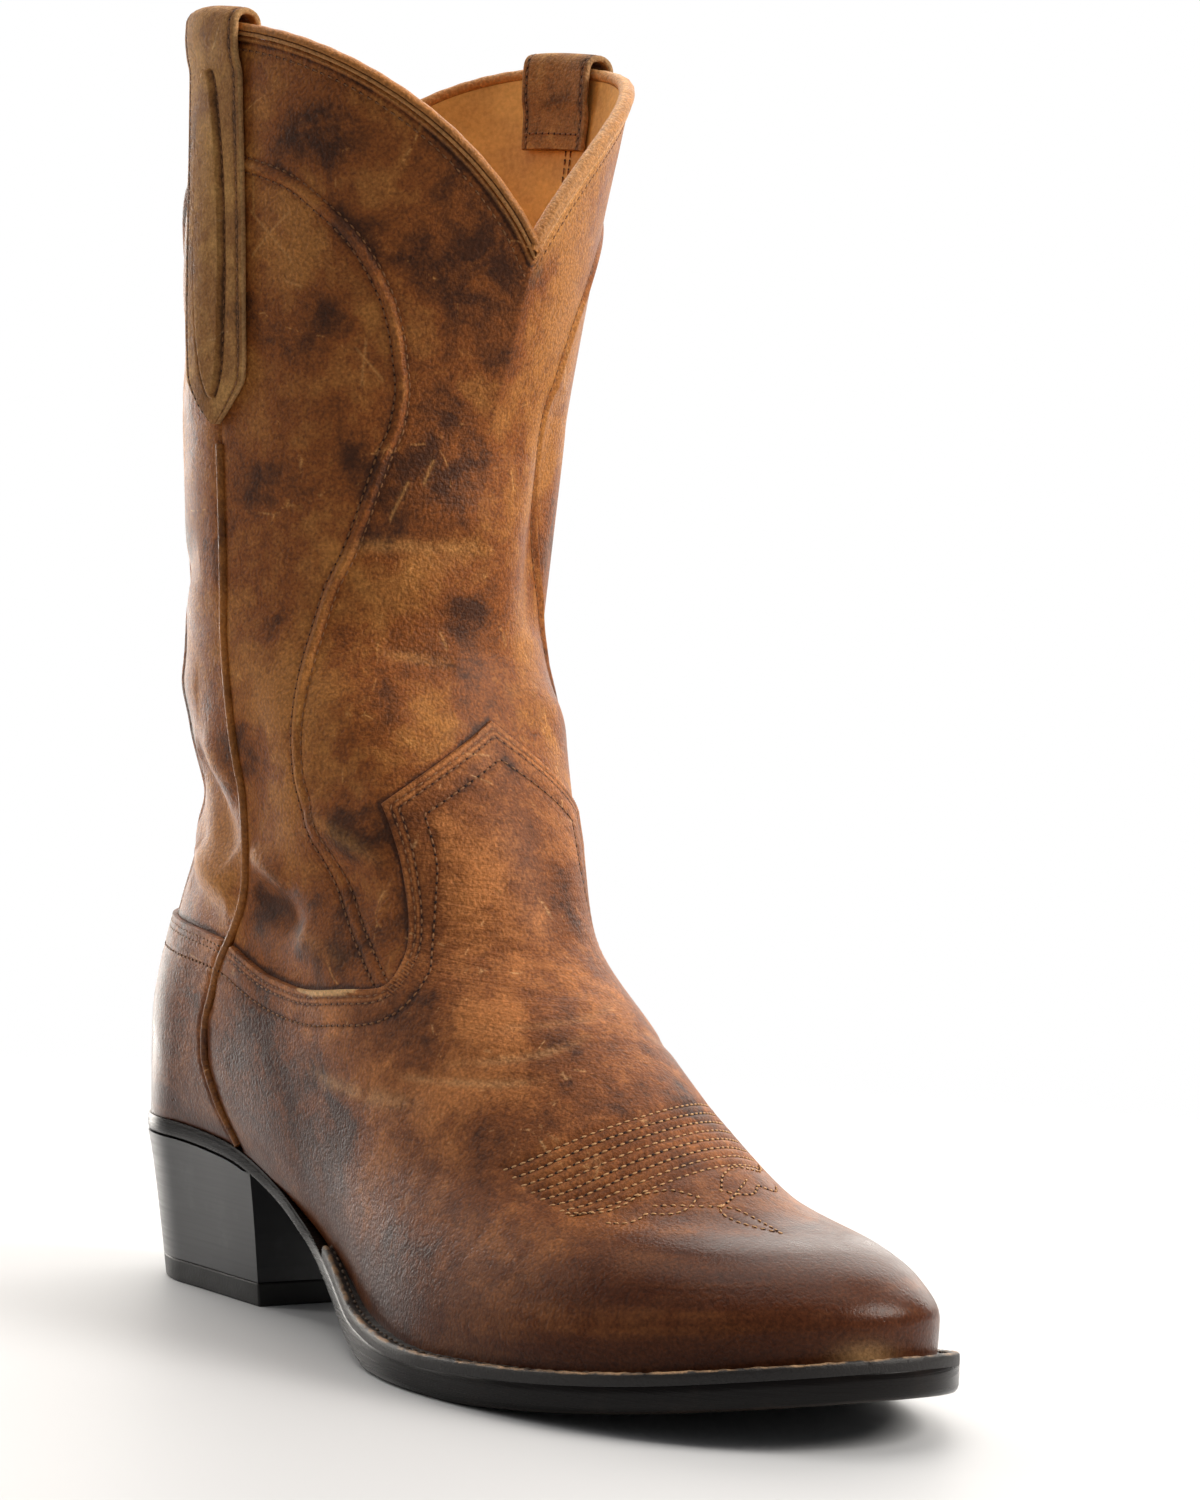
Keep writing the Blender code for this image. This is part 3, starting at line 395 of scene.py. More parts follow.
# The frame's origin in the last's frame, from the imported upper: its back at the sole and its inner bulge
CAD_TURNS = np.concatenate([np.arange(8) / 8, 1 + np.arange(17) / 16])
CAD_TURNS = np.concatenate([CAD_TURNS, 4 - CAD_TURNS[::-1]])
upper_low, upper_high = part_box("upper")
ORIGIN = np.array([form(0.0, 0.0)[0] - upper_low[0] / MM,
                   form(np.full(len(CAD_TURNS), TOP_RING), CAD_TURNS)[:, 1].max() - upper_high[1] / MM, 0.0])


def in_frame(points):
    return (np.asarray(points, float) - ORIGIN) * MM


# Folds and marks of wear
def fold_heights(p):
    """Height of the folds at points p of the form, and how worn pale they are there."""
    # Soft unevenness of worn leather, less on the foot
    height = 0.35 * np.sin(p[:, 2] / 17 + p[:, 0] / 31) * np.sin(p[:, 1] / 19 + p[:, 2] / 43 + 1)
    height = height * np.clip((p[:, 2] - 70) / 50, 0.15, 1)
    worn = np.zeros(len(p))
    for row in FOLDS:
        f = dict(zip(FOLD_COLUMNS, row))
        t = np.linspace(0, 1, 14)
        line = form(f["ring"] + (f["to_ring"] - f["ring"]) * t, f["turn"] + (f["to_turn"] - f["turn"]) * t)
        near = np.full(len(p), np.inf)
        where = np.zeros(len(p))
        for k in range(len(line) - 1):
            d = line[k + 1] - line[k]
            u = np.clip(((p - line[k]) @ d) / (d @ d), 0, 1)
            gap = np.linalg.norm(p - line[k] - u[:, None] * d, axis=1)
            closer = gap < near
            near = np.where(closer, gap, near)
            where = np.where(closer, (k + u) / (len(line) - 1), where)
        fade = np.sin(np.pi * np.clip(where, 0.0, 1.0)) ** 0.6
        height = height + f["height"] * bell(near, f["width"]) * fade
        worn = np.maximum(worn, f["wear"] * bell(near, 0.38 * f["width"]) * fade)
    return height, worn


def stains(p):
    """Strength of the dark blotches at points p, with wandering outlines."""
    wander = np.stack([np.sin(p[:, 1] / 6.1 + p[:, 2] / 9.3) + 0.6 * np.sin(p[:, 2] / 3.7 + 2.0),
                       np.sin(p[:, 2] / 7.7 + p[:, 0] / 5.9 + 1.0) + 0.6 * np.sin(p[:, 0] / 3.3),
                       np.sin(p[:, 0] / 8.3 + p[:, 1] / 6.7 + 4.0) + 0.6 * np.sin(p[:, 1] / 4.1 + 1.0)], 1)
    clean = np.ones(len(p))
    for turn, ring, radius, strength in BLOTCHES:
        gap = np.linalg.norm(p + 0.22 * radius * wander - form(ring, turn), axis=1)
        clean = clean * (1 - strength * bell(gap, radius))
    return 1 - clean


def burnish(p):
    """Darkened and polished leather round the toe and at the heel, and darker and glossier towards the sole.
    """
    toe = rising(p[:, 0], *POLISH_TOE)
    above_sole = p[:, 2] - from_table(SOLE_TOP, p[:, 0])
    low = np.clip(1 - above_sole / POLISH_LOW, 0, 1)
    heel = falling(p[:, 0], 45, 50) * falling(p[:, 2], 105, 25)
    return np.clip(0.85 * toe ** 1.3 + 0.95 * low + 0.85 * heel, 0, 1)


# Lines and panels on the upper
def even_steps(line, step):
    """The same line with its points at even steps along the leather."""
    p = form(line[:, 1], line[:, 0])
    length = run_length(p)
    even = np.linspace(0, length[-1], max(2, int(length[-1] / step) + 1))
    return np.stack([np.interp(even, length, line[:, 0]), np.interp(even, length, line[:, 1])], 1)


def run(turns, rings, step=0.9, straight=False):
    """Line through (turn, ring) places, at even steps along the leather."""
    places = np.stack([np.asarray(turns, float), np.asarray(rings, float)], 1)
    k = np.arange(len(places))
    fine = np.linspace(0, len(places) - 1, 60 * len(places))
    if straight:
        line = np.stack([np.interp(fine, k, places[:, 0]), np.interp(fine, k, places[:, 1])], 1)
    else:
        line = through(k, places, fine)
    return even_steps(line, step)


def joined(*lines):
    """One line from several that meet end to end."""
    return np.concatenate([lines[0]] + [line[1:] for line in lines[1:]])


def mirrored(line):
    return np.stack([4 - line[::-1, 0], line[::-1, 1]], 1)


def surface_tree(line):
    return tree_of(form(line[:, 1], line[:, 0]))


def beside(line, reach):
    """The line moved sideways on the leather, to its left for a positive reach, cleaned at corners."""
    p, normal, _ = frame_at(line[:, 1], line[:, 0])
    step = unit(np.diff(p, axis=0))
    before = np.concatenate([step[:1], step])
    after = np.concatenate([step, step[-1:]])
    side = unit(np.cross(normal, before) + np.cross(normal, after))
    square = np.maximum((side * np.cross(normal, after)).sum(1), 0.35)
    move = side * (reach / square)[:, None]
    per_ring, per_turn = slopes(line[:, 1], line[:, 0])
    tt, rr, tr = (per_turn ** 2).sum(1), (per_ring ** 2).sum(1), (per_turn * per_ring).sum(1)
    mt, mr = (per_turn * move).sum(1), (per_ring * move).sum(1)
    det = tt * rr - tr * tr
    moved = line + np.stack([(rr * mt - tr * mr) / det, (tt * mr - tr * mt) / det], 1)
    moved[:, 1] = np.clip(moved[:, 1], 0, TOP_RING)
    # Points that fold back at a corner lie nearer to the line than the reach
    gap = distances(surface_tree(line), form(moved[:, 1], moved[:, 0]))
    clear = moved[gap > np.where(np.abs(line[:, 0] - 2) > 0.62, 0.85, 0.96) * abs(reach)]
    return even_steps(clear, 0.9) if len(clear) > 1 else clear


# The leather laid flat: a turn is drawn this long, a ring as long as it is between seam and front
FLAT_TURN = 105.0
RING_STEPS = np.linspace(0, TOP_RING, 261)
RING_LINE = form(RING_STEPS, np.full(261, 1.5))
RING_MM = run_length(RING_LINE)


def flat(uv):
    """Places on the leather laid flat, in mm."""
    return np.stack([uv[:, 0] * FLAT_TURN, np.interp(uv[:, 1], RING_STEPS, RING_MM)], 1)


def unflat(xy):
    return np.stack([xy[:, 0] / FLAT_TURN, np.interp(xy[:, 1], RING_MM, RING_STEPS)], 1)


def inside(points, loop):
    """Which flat points lie inside a closed loop."""
    hit = np.zeros(len(points), bool)
    for a, b in zip(loop, np.roll(loop, -1, 0)):
        if a[1] == b[1]:
            continue
        cross = (a[1] > points[:, 1]) != (b[1] > points[:, 1])
        hit ^= cross & (points[:, 0] < (b[0] - a[0]) * (points[:, 1] - a[1]) / (b[1] - a[1]) + a[0])
    return hit


def cut_pattern(outline, guides, spacing, hidden=None):
    """Flat triangles inside an outline, with points along its guides and coarser where it is hidden."""
    def raised(points):
        return np.concatenate([points, np.zeros((len(points), 1))], 1)

    edge = flat(outline)
    extra = flat(np.concatenate(guides))
    extra = extra[inside(extra, edge)]
    extra = extra[np.unique((extra / 0.4).round().astype(int), axis=0, return_index=True)[1]]
    fixed = tree_of(raised(np.concatenate([edge, extra])))
    extra = extra[distances(tree_of(raised(edge)), raised(extra)) > 0.2]
    points = [edge, extra]
    for step, want_hidden in ((spacing, False), (HIDDEN_MESH, True)):
        if want_hidden and hidden is None:
            continue
        lo, hi = edge.min(0), edge.max(0)
        x, y = np.meshgrid(np.arange(lo[0], hi[0], step), np.arange(lo[1], hi[1], 0.87 * step))
        x[1::2] += step / 2
        grid = np.stack([x.ravel(), y.ravel()], 1)
        grid = grid[inside(grid, edge)]
        if hidden is not None:
            grid = grid[hidden(unflat(grid)) == want_hidden]
        points.append(grid[distances(fixed, raised(grid)) > 0.6 * spacing])
    loop = [(k, (k + 1) % len(edge)) for k in range(len(edge))]
    points = [Vector(p) for p in np.concatenate(points)]
    verts, _, faces, _, _, _ = delaunay_2d_cdt(points, loop, [], 1, 1e-5)
    return unflat(np.array([tuple(v) for v in verts])), [tuple(f) for f in faces]


def finish_piece(ob, material, nodes):
    """Gives a piece its material, hangs it on the root body and hides the solids it stands for."""
    ob.data.materials.clear()
    ob.data.materials.append(material)
    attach(ob, "root")
    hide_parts(*nodes)


def mesh_object(name, points, faces, sharp_deg=50, layers=None, uv=None):
    """Smooth mesh from points in mm, with values painted on its points."""
    mesh = bpy.data.meshes.new(name)
    mesh.from_pydata([tuple(p) for p in in_frame(points)], [], faces)
    for label, values in (layers or {}).items():
        mesh.attributes.new(label, "FLOAT", "POINT").data.foreach_set("value", np.asarray(values, np.float32))
    if uv is not None:
        corner = np.zeros(len(mesh.loops), int)
        mesh.loops.foreach_get("vertex_index", corner)
        mesh.uv_layers.new(name="pattern").data.foreach_set("uv", (np.asarray(uv)[corner] * MM).ravel())
    mesh.polygons.foreach_set("use_smooth", np.ones(len(mesh.polygons), bool))
    mesh.set_sharp_from_angle(angle=math.radians(sharp_deg))
    mesh.update()
    ob = bpy.data.objects.new(name, mesh)
    bpy.context.scene.collection.objects.link(ob)
    return ob


def lay_panel(name, uv, faces, top, bottom, layers):
    """Closed leather panel: flat triangles laid on the form at two heights, with walls between."""
    p, normal, _ = frame_at(uv[:, 1], uv[:, 0])
    fold, worn = fold_heights(p)
    upper = p + normal * (fold + top)[:, None]
    lower = p + normal * (fold + bottom)[:, None]
    for face in (upper, lower):
        face[:, 2] = np.maximum(face[:, 2], from_table(SOLE_TOP, face[:, 0]) + 0.05)
    n = len(uv)
    edges = {}
    for f in faces:
        for a, b in zip(f, f[1:] + f[:1]):
            edges[(a, b)] = True
    walls = [(b, a, n + a, n + b) for a, b in edges if (b, a) not in edges]
    both = list(faces) + [tuple(n + k for k in reversed(f)) for f in faces] + walls
    all_layers = {"stain": stains(p), "worn": worn, "burnish": burnish(p)}
    all_layers.update(layers)
    doubled = {label: np.concatenate([v, v]) for label, v in all_layers.items()}
    pattern = np.tile(flat(uv), (2, 1))
    return mesh_object(name, np.concatenate([upper, lower]), both, 50, doubled, pattern)


def on_leather(line, out):
    """Points and facing of a stitch row lying on the leather at a height."""
    p, normal, _ = frame_at(line[:, 1], line[:, 0])
    fold, _ = fold_heights(p)
    return p + normal * (fold + np.asarray(out, float))[:, None], normal


# Materials
def tone(code):
    """sRGB hex to linear."""
    parts = [int(code[k:k + 2], 16) / 255 for k in (1, 3, 5)]
    return tuple(v / 12.92 if v <= 0.04045 else ((v + 0.055) / 1.055) ** 2.4 for v in parts) + (1.0,)


def add(tree, kind, inputs=None, **settings):
    """A node with its settings; inputs take values or other nodes' outputs."""
    node = tree.nodes.new(kind)
    for label, value in settings.items():
        setattr(node, label, value)
    for label, value in (inputs or {}).items():
        socket = node.inputs[label]
        if isinstance(value, bpy.types.NodeSocket):
            tree.links.new(value, socket)
        else:
            socket.default_value = value
    return node


def noise(tree, place, mm, detail, rough=0.5, bend=0.0):
    """Soft noise with patches of a size in mm."""
    inputs = {"Vector": place, "Scale": 1000 / mm, "Detail": detail, "Roughness": rough, "Distortion": bend}
    return add(tree, "ShaderNodeTexNoise", inputs).outputs["Fac"]


def stretched(tree, place, sizes, detail, bend=0.0):
    """Noise drawn out to a size in mm along each axis."""
    drawn = add(tree, "ShaderNodeMapping", {"Vector": place, "Scale": [1000 / mm for mm in sizes]})
    return noise(tree, drawn.outputs[0], 1000, detail, bend=bend)


def spread(tree, value, low, high, to_low=0.0, to_high=1.0, **settings):
    """A value's range from low to high drawn out to another, and held at its ends."""
    inputs = {"Value": value, "From Min": low, "From Max": high, "To Min": to_low, "To Max": to_high}
    return add(tree, "ShaderNodeMapRange", inputs, **settings).outputs["Result"]


def maths(tree, operation, *values, **settings):
    return add(tree, "ShaderNodeMath", dict(enumerate(values)), operation=operation, **settings).outputs[0]


def mix(tree, share, first, second, kind="RGBA"):
    """A share of the way from the first colour or number to the second."""
    inputs = {"Factor": share, "A": first, "B": second}
    return add(tree, "ShaderNodeMix", inputs, data_type=kind).outputs["Result"]


def layer(tree, name):
    """A value painted on the piece's points."""
    return add(tree, "ShaderNodeAttribute", attribute_name=name).outputs["Fac"]


def new_material(name):
    mat = bpy.data.materials.new(name)
    mat.use_nodes = True
    tree = mat.node_tree
    return mat, tree, tree.nodes["Principled BSDF"], add(tree, "ShaderNodeTexCoord").outputs["Object"]


def dress(tree, shader, links, **even):
    """Links what varies to the shader's sockets, and sets what is the same all over."""
    for label, output in links.items():
        tree.links.new(output, shader.inputs[label])
    for label, value in even.items():
        shader.inputs[label.replace("_", " ")].default_value = value


def bumps(tree, height, strength, depth):
    """Relief with a depth in mm."""
    inputs = {"Height": height, "Strength": strength, "Distance": depth * MM}
    return add(tree, "ShaderNodeBump", inputs).outputs[0]


def waxed_leather(name, dark, brown, tan, pale, polished, rough, coat, grain=0.78, gloss=0.24):
    """Pull-up leather: oily and cloudy, dark where wax gathers and where shade is painted in grooves, pale
    where it is bent or scuffed and where a highlight is painted.
    """
    mat, tree, shader, place = new_material(name)
    pattern = add(tree, "ShaderNodeTexCoord").outputs["UV"]
    stain, worn, shine, flex, edge = (layer(tree, k) for k in ("stain", "worn", "burnish", "flex", "edge"))
    # Clouds of dye about 45 mm across, smoky patches of 17 mm, blots of 6 mm, pores of 0.75 mm
    cloud = noise(tree, place, 45, 3.0, 0.55)
    smoke = noise(tree, place, 17, 5.0, 0.62, 0.7)
    blots = noise(tree, place, 6, 4.0, 0.68)
    pores = noise(tree, place, 0.75, 2.0, 0.6)
    depth = mix(tree, 0.29, mix(tree, 0.5, cloud, smoke, "FLOAT"), blots, "FLOAT")
    # The stain and shade layer darkens it: real blotches of wax and dye, and painted shade in grooves and
    # beside laid edges
    depth = maths(tree, "MULTIPLY_ADD", stain, -0.17, depth)
    waxed = spread(tree, depth, 0.335, 0.48, interpolation_type="SMOOTHSTEP")
    base = mix(tree, waxed, tone(dark), tone(brown))
    base = mix(tree, spread(tree, depth, 0.47, 0.595), base, tone(tan))
    # Burnish, brushed on in streaks
    streaks = spread(tree, stretched(tree, pattern, (60, 9, 1000), 3.0), 0.35, 0.65, 0.72, 1.15)
    polish = spread(tree, maths(tree, "MULTIPLY", shine, streaks), 0.05, 0.95, 0.0, 0.94)
    base = mix(tree, polish, base, tone(polished))
    # Pale crests of folds and a few fine scratches
    warp = add(tree, "ShaderNodeTexNoise", {"Vector": place, "Scale": 1000 / 60, "Detail": 2.0})
    bent = {0: warp.outputs["Color"], 1: (0.05, 0.05, 0.05), 2: place}
    bent = add(tree, "ShaderNodeVectorMath", bent, operation="MULTIPLY_ADD").outputs[0]
    cracks = add(tree, "ShaderNodeTexVoronoi", {"Vector": bent, "Scale": 1000 / 40},
                 feature="DISTANCE_TO_EDGE").outputs["Distance"]
    scratch = spread(tree, cracks, 0.0, 0.009, 1.0, 0.0)
    scratch = maths(tree, "MULTIPLY", scratch, spread(tree, blots, 0.54, 0.66))
    scratch = maths(tree, "MULTIPLY", scratch, spread(tree, shine, 0.0, 0.5, 1.0, 0.0))
    crest = maths(tree, "MULTIPLY", worn, spread(tree, blots, 0.36, 0.58, 0.25))
    # The edge layer brings pale wear, raw edges and scuffs, and painted highlight
    light = maths(tree, "MAXIMUM", maths(tree, "MAXIMUM", scratch, crest), edge)
    light = maths(tree, "MULTIPLY", light, 0.6, use_clamp=True)
    base = mix(tree, light, base, tone(pale))
    # Grain: rounded cells of 1 mm, light on top and dark in between
    cells = add(tree, "ShaderNodeTexVoronoi", {"Vector": place, "Scale": 1000 / 1.0, "Randomness": 0.9},
                feature="SMOOTH_F1").outputs["Distance"]
    peak = maths(tree, "MULTIPLY_ADD", cells, -0.55, pores)
    dim = spread(tree, peak, 0.0, 0.52, 1 - 0.42 * grain, 1 + 0.46 * grain)
    colour = add(tree, "ShaderNodeVectorMath", {0: base, 1: dim}, operation="MULTIPLY").outputs[0]
    # Satin wax, glossier where burnished
    matt = spread(tree, smoke, 0.3, 0.7, rough - 0.07, rough + 0.10)
    matt = maths(tree, "MULTIPLY_ADD", shine, -0.24, matt)
    # Wrinkles of 3 mm, and bending creases that run round the foot
    wrinkle = noise(tree, place, 3.2, 3.0, bend=0.6)
    relief = maths(tree, "MULTIPLY_ADD", wrinkle, 0.75, peak)
    relief = maths(tree, "MULTIPLY", relief, spread(tree, shine, 0.0, 1.0, 1.0, 0.25))
    creases = maths(tree, "MULTIPLY", stretched(tree, pattern, (13, 1.7, 1000), 2.0, 0.35), flex)
    relief = maths(tree, "MULTIPLY_ADD", creases, 2.0, relief)
    dress(tree, shader, {"Base Color": colour, "Roughness": matt, "Normal": bumps(tree, relief, 0.85, 0.45)},
          Coat_Weight=coat, Coat_Roughness=0.3, Specular_IOR_Level=gloss)
    return mat


def plain_leather(name, colour, shade, rough, grain_mm, depth, patch_mm=9.0):
    """Undyed leather or plain rubber: an even colour with soft patches and a fine nap."""
    mat, tree, shader, place = new_material(name)
    patch = noise(tree, place, patch_mm, 4.0)
    nap = noise(tree, place, grain_mm, 3.0)
    amount = spread(tree, maths(tree, "MULTIPLY_ADD", nap, 0.6, patch), 0.55, 1.05)
    dress(tree, shader, {"Base Color": mix(tree, amount, tone(shade), tone(colour)),
                         "Roughness": spread(tree, patch, 0.3, 0.7, rough - 0.08, rough + 0.1),
                         "Normal": bumps(tree, nap, 0.6, depth)})
    return mat


def edge_stained(name, colour, worn, rough, line_mm, gloss):
    """Sole leather with its edge inked black and ironed: fine level lines, and a paler colour painted as
    sheen in patches and on marked edge rows.
    """
    mat, tree, shader, place = new_material(name)
    lines = stretched(tree, place, (40, 40, line_mm), 3.0)
    sheen_patches = spread(tree, noise(tree, place, 14, 5.0, 0.65), 0.52, 0.74)
    # Painted sheen: patches and marked edge rows mixed towards the paler colour
    wear = maths(tree, "MULTIPLY_ADD", sheen_patches, 0.30, layer(tree, "edge"), use_clamp=True)
    dress(tree, shader, {"Base Color": mix(tree, wear, tone(colour), tone(worn)),
                         "Roughness": spread(tree, lines, 0.3, 0.7, rough - 0.04, rough + 0.06),
                         "Normal": bumps(tree, lines, 0.2, 0.2)}, Specular_IOR_Level=gloss)
    return mat


def raw_edge(name, inked, raw):
    """The welt: rough and dark on top, a pale raw line at its outer edge, inked on its side."""
    mat, tree, shader, place = new_material(name)
    fuzz = noise(tree, place, 0.8, 4.0, 0.7)
    uneven = spread(tree, noise(tree, place, 5, 4.0), 0.35, 0.62, 0.15)
    bare = maths(tree, "MULTIPLY", maths(tree, "MULTIPLY", layer(tree, "edge"), uneven), fuzz)
    dress(tree, shader, {"Base Color": mix(tree, spread(tree, bare, 0.12, 0.5), tone(inked), tone(raw)),
                         "Normal": bumps(tree, fuzz, 0.6, 0.35)}, Roughness=0.5)
    return mat


def thread(name, colour, shade, rough=0.6):
    """Waxed twisted thread: a fine speckle of light and dark ply."""
    mat, tree, shader, place = new_material(name)
    ply = noise(tree, place, 0.5, 1.0)
    dress(tree, shader, {"Base Color": mix(tree, ply, tone(shade), tone(colour))}, Roughness=rough)
    return mat


# Warm mottled brown with a satin face
SHAFT_LEATHER = waxed_leather("waxed shaft leather", "#4c2811", "#8c4e1f", "#b07236", "#d69a58", "#5a3518",
                              0.54, 0.04)
# Redder brown, polished to dark chocolate at toe and heel, and dark towards the sole
VAMP_LEATHER = waxed_leather("burnished vamp leather", "#432618", "#7f4925", "#b4723f", "#dcae78", "#421f10",
                             0.53, 0.05, grain=0.72, gloss=0.15)
# Rolled strips, rubbed pale on their crests
PIPING_LEATHER = waxed_leather("piping leather", "#522b13", "#84501f", "#ac6c30", "#d09a62", "#4a2a16",
                               0.50, 0.04, grain=0.6)
# Dry olive tan, with painted shade beside the strip
STRAP_LEATHER = waxed_leather("pull strap leather", "#5c3c20", "#976636", "#bd8d52", "#dcb684", "#5c3f24",
                              0.66, 0.0, grain=0.6)
# Golden tan with a fine nap inside, darker under the foot
LINING_LEATHER = plain_leather("glove lining leather", "#f0b866", "#c48c46", 0.72, 1.3, 0.22, 14.0)
INSOLE_LEATHER = plain_leather("insole leather", "#c58a48", "#8f5f2b", 0.75, 1.6, 0.2, 18.0)
# Near black edges with a painted brown glint, a painted grey sheen on the heel, a raw pale line on the welt
SOLE_LEATHER = edge_stained("inked sole leather", "#0a0605", "#33271f", 0.26, 0.7, 0.2)
TREAD_LEATHER = edge_stained("heel stack leather", "#27282a", "#58585a", 0.32, 0.9, 0.75)
WELT_LEATHER = raw_edge("raw welt edge", "#100a08", "#a98560")
HEEL_RUBBER = plain_leather("heel rubber", "#1b1a19", "#100f0f", 0.5, 0.8, 0.12)
# Threads a shade paler than the leather, and the shadow in their holes
BROWN_THREAD = thread("brown waxed thread", "#a56f3e", "#6a4020")
TAN_THREAD = thread("tan waxed thread", "#e0b078", "#a8764a")
WELT_THREAD = thread("welt thread", "#5c452e", "#241a12", 0.8)
HOLE_SHADOW = thread("needle hole", "#341b0e", "#1c0e07", 0.9)


# Outlines of the leather panels
def seam_turn(ring):
    """The outer side seam: a smooth bow from the sole to the vamp's edge."""
    return 1 - through(SEAM_BOW["ring"], SEAM_BOW["back"], ring) / FLAT_TURN


def slot_turn(ring, towards):
    middle = seam_turn(ring)
    reach = np.linalg.norm(form(ring, middle + towards * 0.02) - form(ring, middle), axis=-1)
    return middle + towards * 0.02 * SEAM_SLOT / reach


def flipped(line):
    """The line on the other side of the heel's middle."""
    return np.stack([-line[::-1, 0], line[::-1, 1]], 1)


seam_rings = np.linspace(0, VAMP_LINE["ring"][0], 60)
vamp_top = joined(run(VAMP_LINE["turn"], VAMP_LINE["ring"]),
                  run((VAMP_LINE["turn"][-1], 2.0), (VAMP_LINE["ring"][-1], TONGUE_PEAK), straight=True))
vamp_top = vamp_top[vamp_top[:, 0] > slot_turn(VAMP_LINE["ring"][0], 1) + 0.003]
vamp_edge = joined(vamp_top, mirrored(vamp_top))
vamp_seam = np.stack([slot_turn(seam_rings, 1), seam_rings], 1)
vamp_foot = run(np.linspace(vamp_seam[0, 0], 4 - vamp_seam[0, 0], 40), np.zeros(40), straight=True)
vamp_outline = np.concatenate([vamp_seam[:-1], vamp_edge, mirrored(vamp_seam)[1:],
                               vamp_foot[::-1][1:-1]])[::-1]

counter_top = run(COUNTER_LINE["turn"], COUNTER_LINE["ring"])
counter_top = counter_top[counter_top[:, 0] < slot_turn(COUNTER_LINE["ring"][-1], -1) - 0.003]
counter_edge = joined(flipped(counter_top), counter_top)
counter_seam = np.stack([slot_turn(seam_rings, -1), seam_rings], 1)
counter_foot = run(np.linspace(-counter_seam[0, 0], counter_seam[0, 0], 40), np.zeros(40), straight=True)
counter_outline = np.concatenate([counter_foot[:-1], counter_seam, counter_edge[::-1][1:-1],
                                  flipped(counter_seam)[:-1]])


def soft_edge(gap, width=0.45, low=0.6):
    """Height of leather near its cut edge, as a share of its full height."""
    return low + (1 - low) * np.sqrt(np.clip(1 - (1 - np.clip(gap / width, 0, 1)) ** 2, 0, 1))


def groove(gap, depth=0.28, width=0.75):
    """Leather drawn down by a row of stitches."""
    return -depth * bell(gap, width)


def row_distance(rows, p):
    """Distance of points p from the nearest of the rows."""
    if not rows:
        return np.full(len(p), 99.0)
    return distances(surface_tree(np.concatenate(rows)), p)


# Toe ornament, laid out from above about its own middle line: eight rows and a scroll with a petal
TOE_MIDDLE = -6.0
TOE_ROWS = 8
PETAL_LEAN = 0.3


def from_above(points):
    """(turn, ring) of the vamp's top face under points (x, y)."""
    turn, ring = np.meshgrid(np.linspace(1.3, 2.7, 71), np.linspace(2.6, 7, 89))
    grid = form(ring, turn)
    out = []
    for x, y in points:
        k = np.argmin((grid[..., 0] - x) ** 2 + (grid[..., 1] - y) ** 2)
        uv = np.array([turn.ravel()[k], ring.ravel()[k]])
        for _ in range(5):
            miss = np.array([x, y]) - form(uv[1], uv[0])[:2]
            per_ring, per_turn = slopes(uv[1], uv[0])
            uv = uv + np.linalg.solve(np.array([per_turn[:2], per_ring[:2]]).T, miss)
        out.append(uv)
    return np.array(out)


def toe_line(points, smooth=True):
    """Row through (x, across from the ornament's middle), at even steps."""
    points = np.array(points, float)
    uv = from_above(np.stack([points[:, 0], points[:, 1] + TOE_MIDDLE], 1))
    return run(uv[:, 0], uv[:, 1], 0.8, straight=not smooth)


def toe_rows():
    rows = []
    for k in range(TOE_ROWS):
        side, end = 29.5 - 0.25 * k, 204.0 + 3.6 * k
        across = np.linspace(-side, side, 17)
        crown = 15.5 - 0.9 * k
        rows.append(toe_line(np.stack([end + crown * (1 - (across / side) ** 2) ** 0.85, across], 1)))
    return rows


def toe_scroll():
    """Two mirrored wings that meet in a knot, and a petal that points at the toe."""
    outer = ((228, 27.8), (234, 23.4), (236.4, 18.5), (237.5, 13), (240.6, 7.4), (245.3, 3.3))
    lower = ((245.3, 3.3), (247.1, 7.2), (247.3, 10.2), (245.9, 13.1), (243.2, 15.8), (243.4, 18.8),
             (242.3, 22.1), (239.3, 24.3))
    inner = ((242.0, 13.1), (245.4, 8.6), (248.2, 4.5), (250, 0.6))
    petal = ((250, 0), (252.6, 2.3), (257.5, 2.8), (262, 1.8), (266.5, 0))
    lines = []
    for points in (outer, lower, inner, petal):
        for sign in (1, -1):
            lines.append(toe_line([(x, sign * a + PETAL_LEAN * max(x - 250, 0)) for x, a in points]))
    return lines


TOE_LINES = toe_rows()
SCROLL_LINES = toe_scroll()

# Stitch rows of vamp and counter
vamp_rows = [beside(vamp_edge, -d) for d in VAMP_ROWS]
vamp_rows = [row[row[:, 1] > 4.2] for row in vamp_rows]
counter_rows = [beside(counter_edge, -d) for d in VAMP_ROWS]


def lasted_height(edge_gap, seam_gap, rows, p):
    """Height of foot leather: thin at its cut edge and in the side seams, drawn down by its rows."""
    height = VAMP_SKIN * np.minimum(soft_edge(edge_gap), soft_edge(seam_gap, 1.4, 0.55))
    return height + groove(row_distance(rows[:2], p), 0.16, 0.6) + groove(row_distance(rows[2:], p))


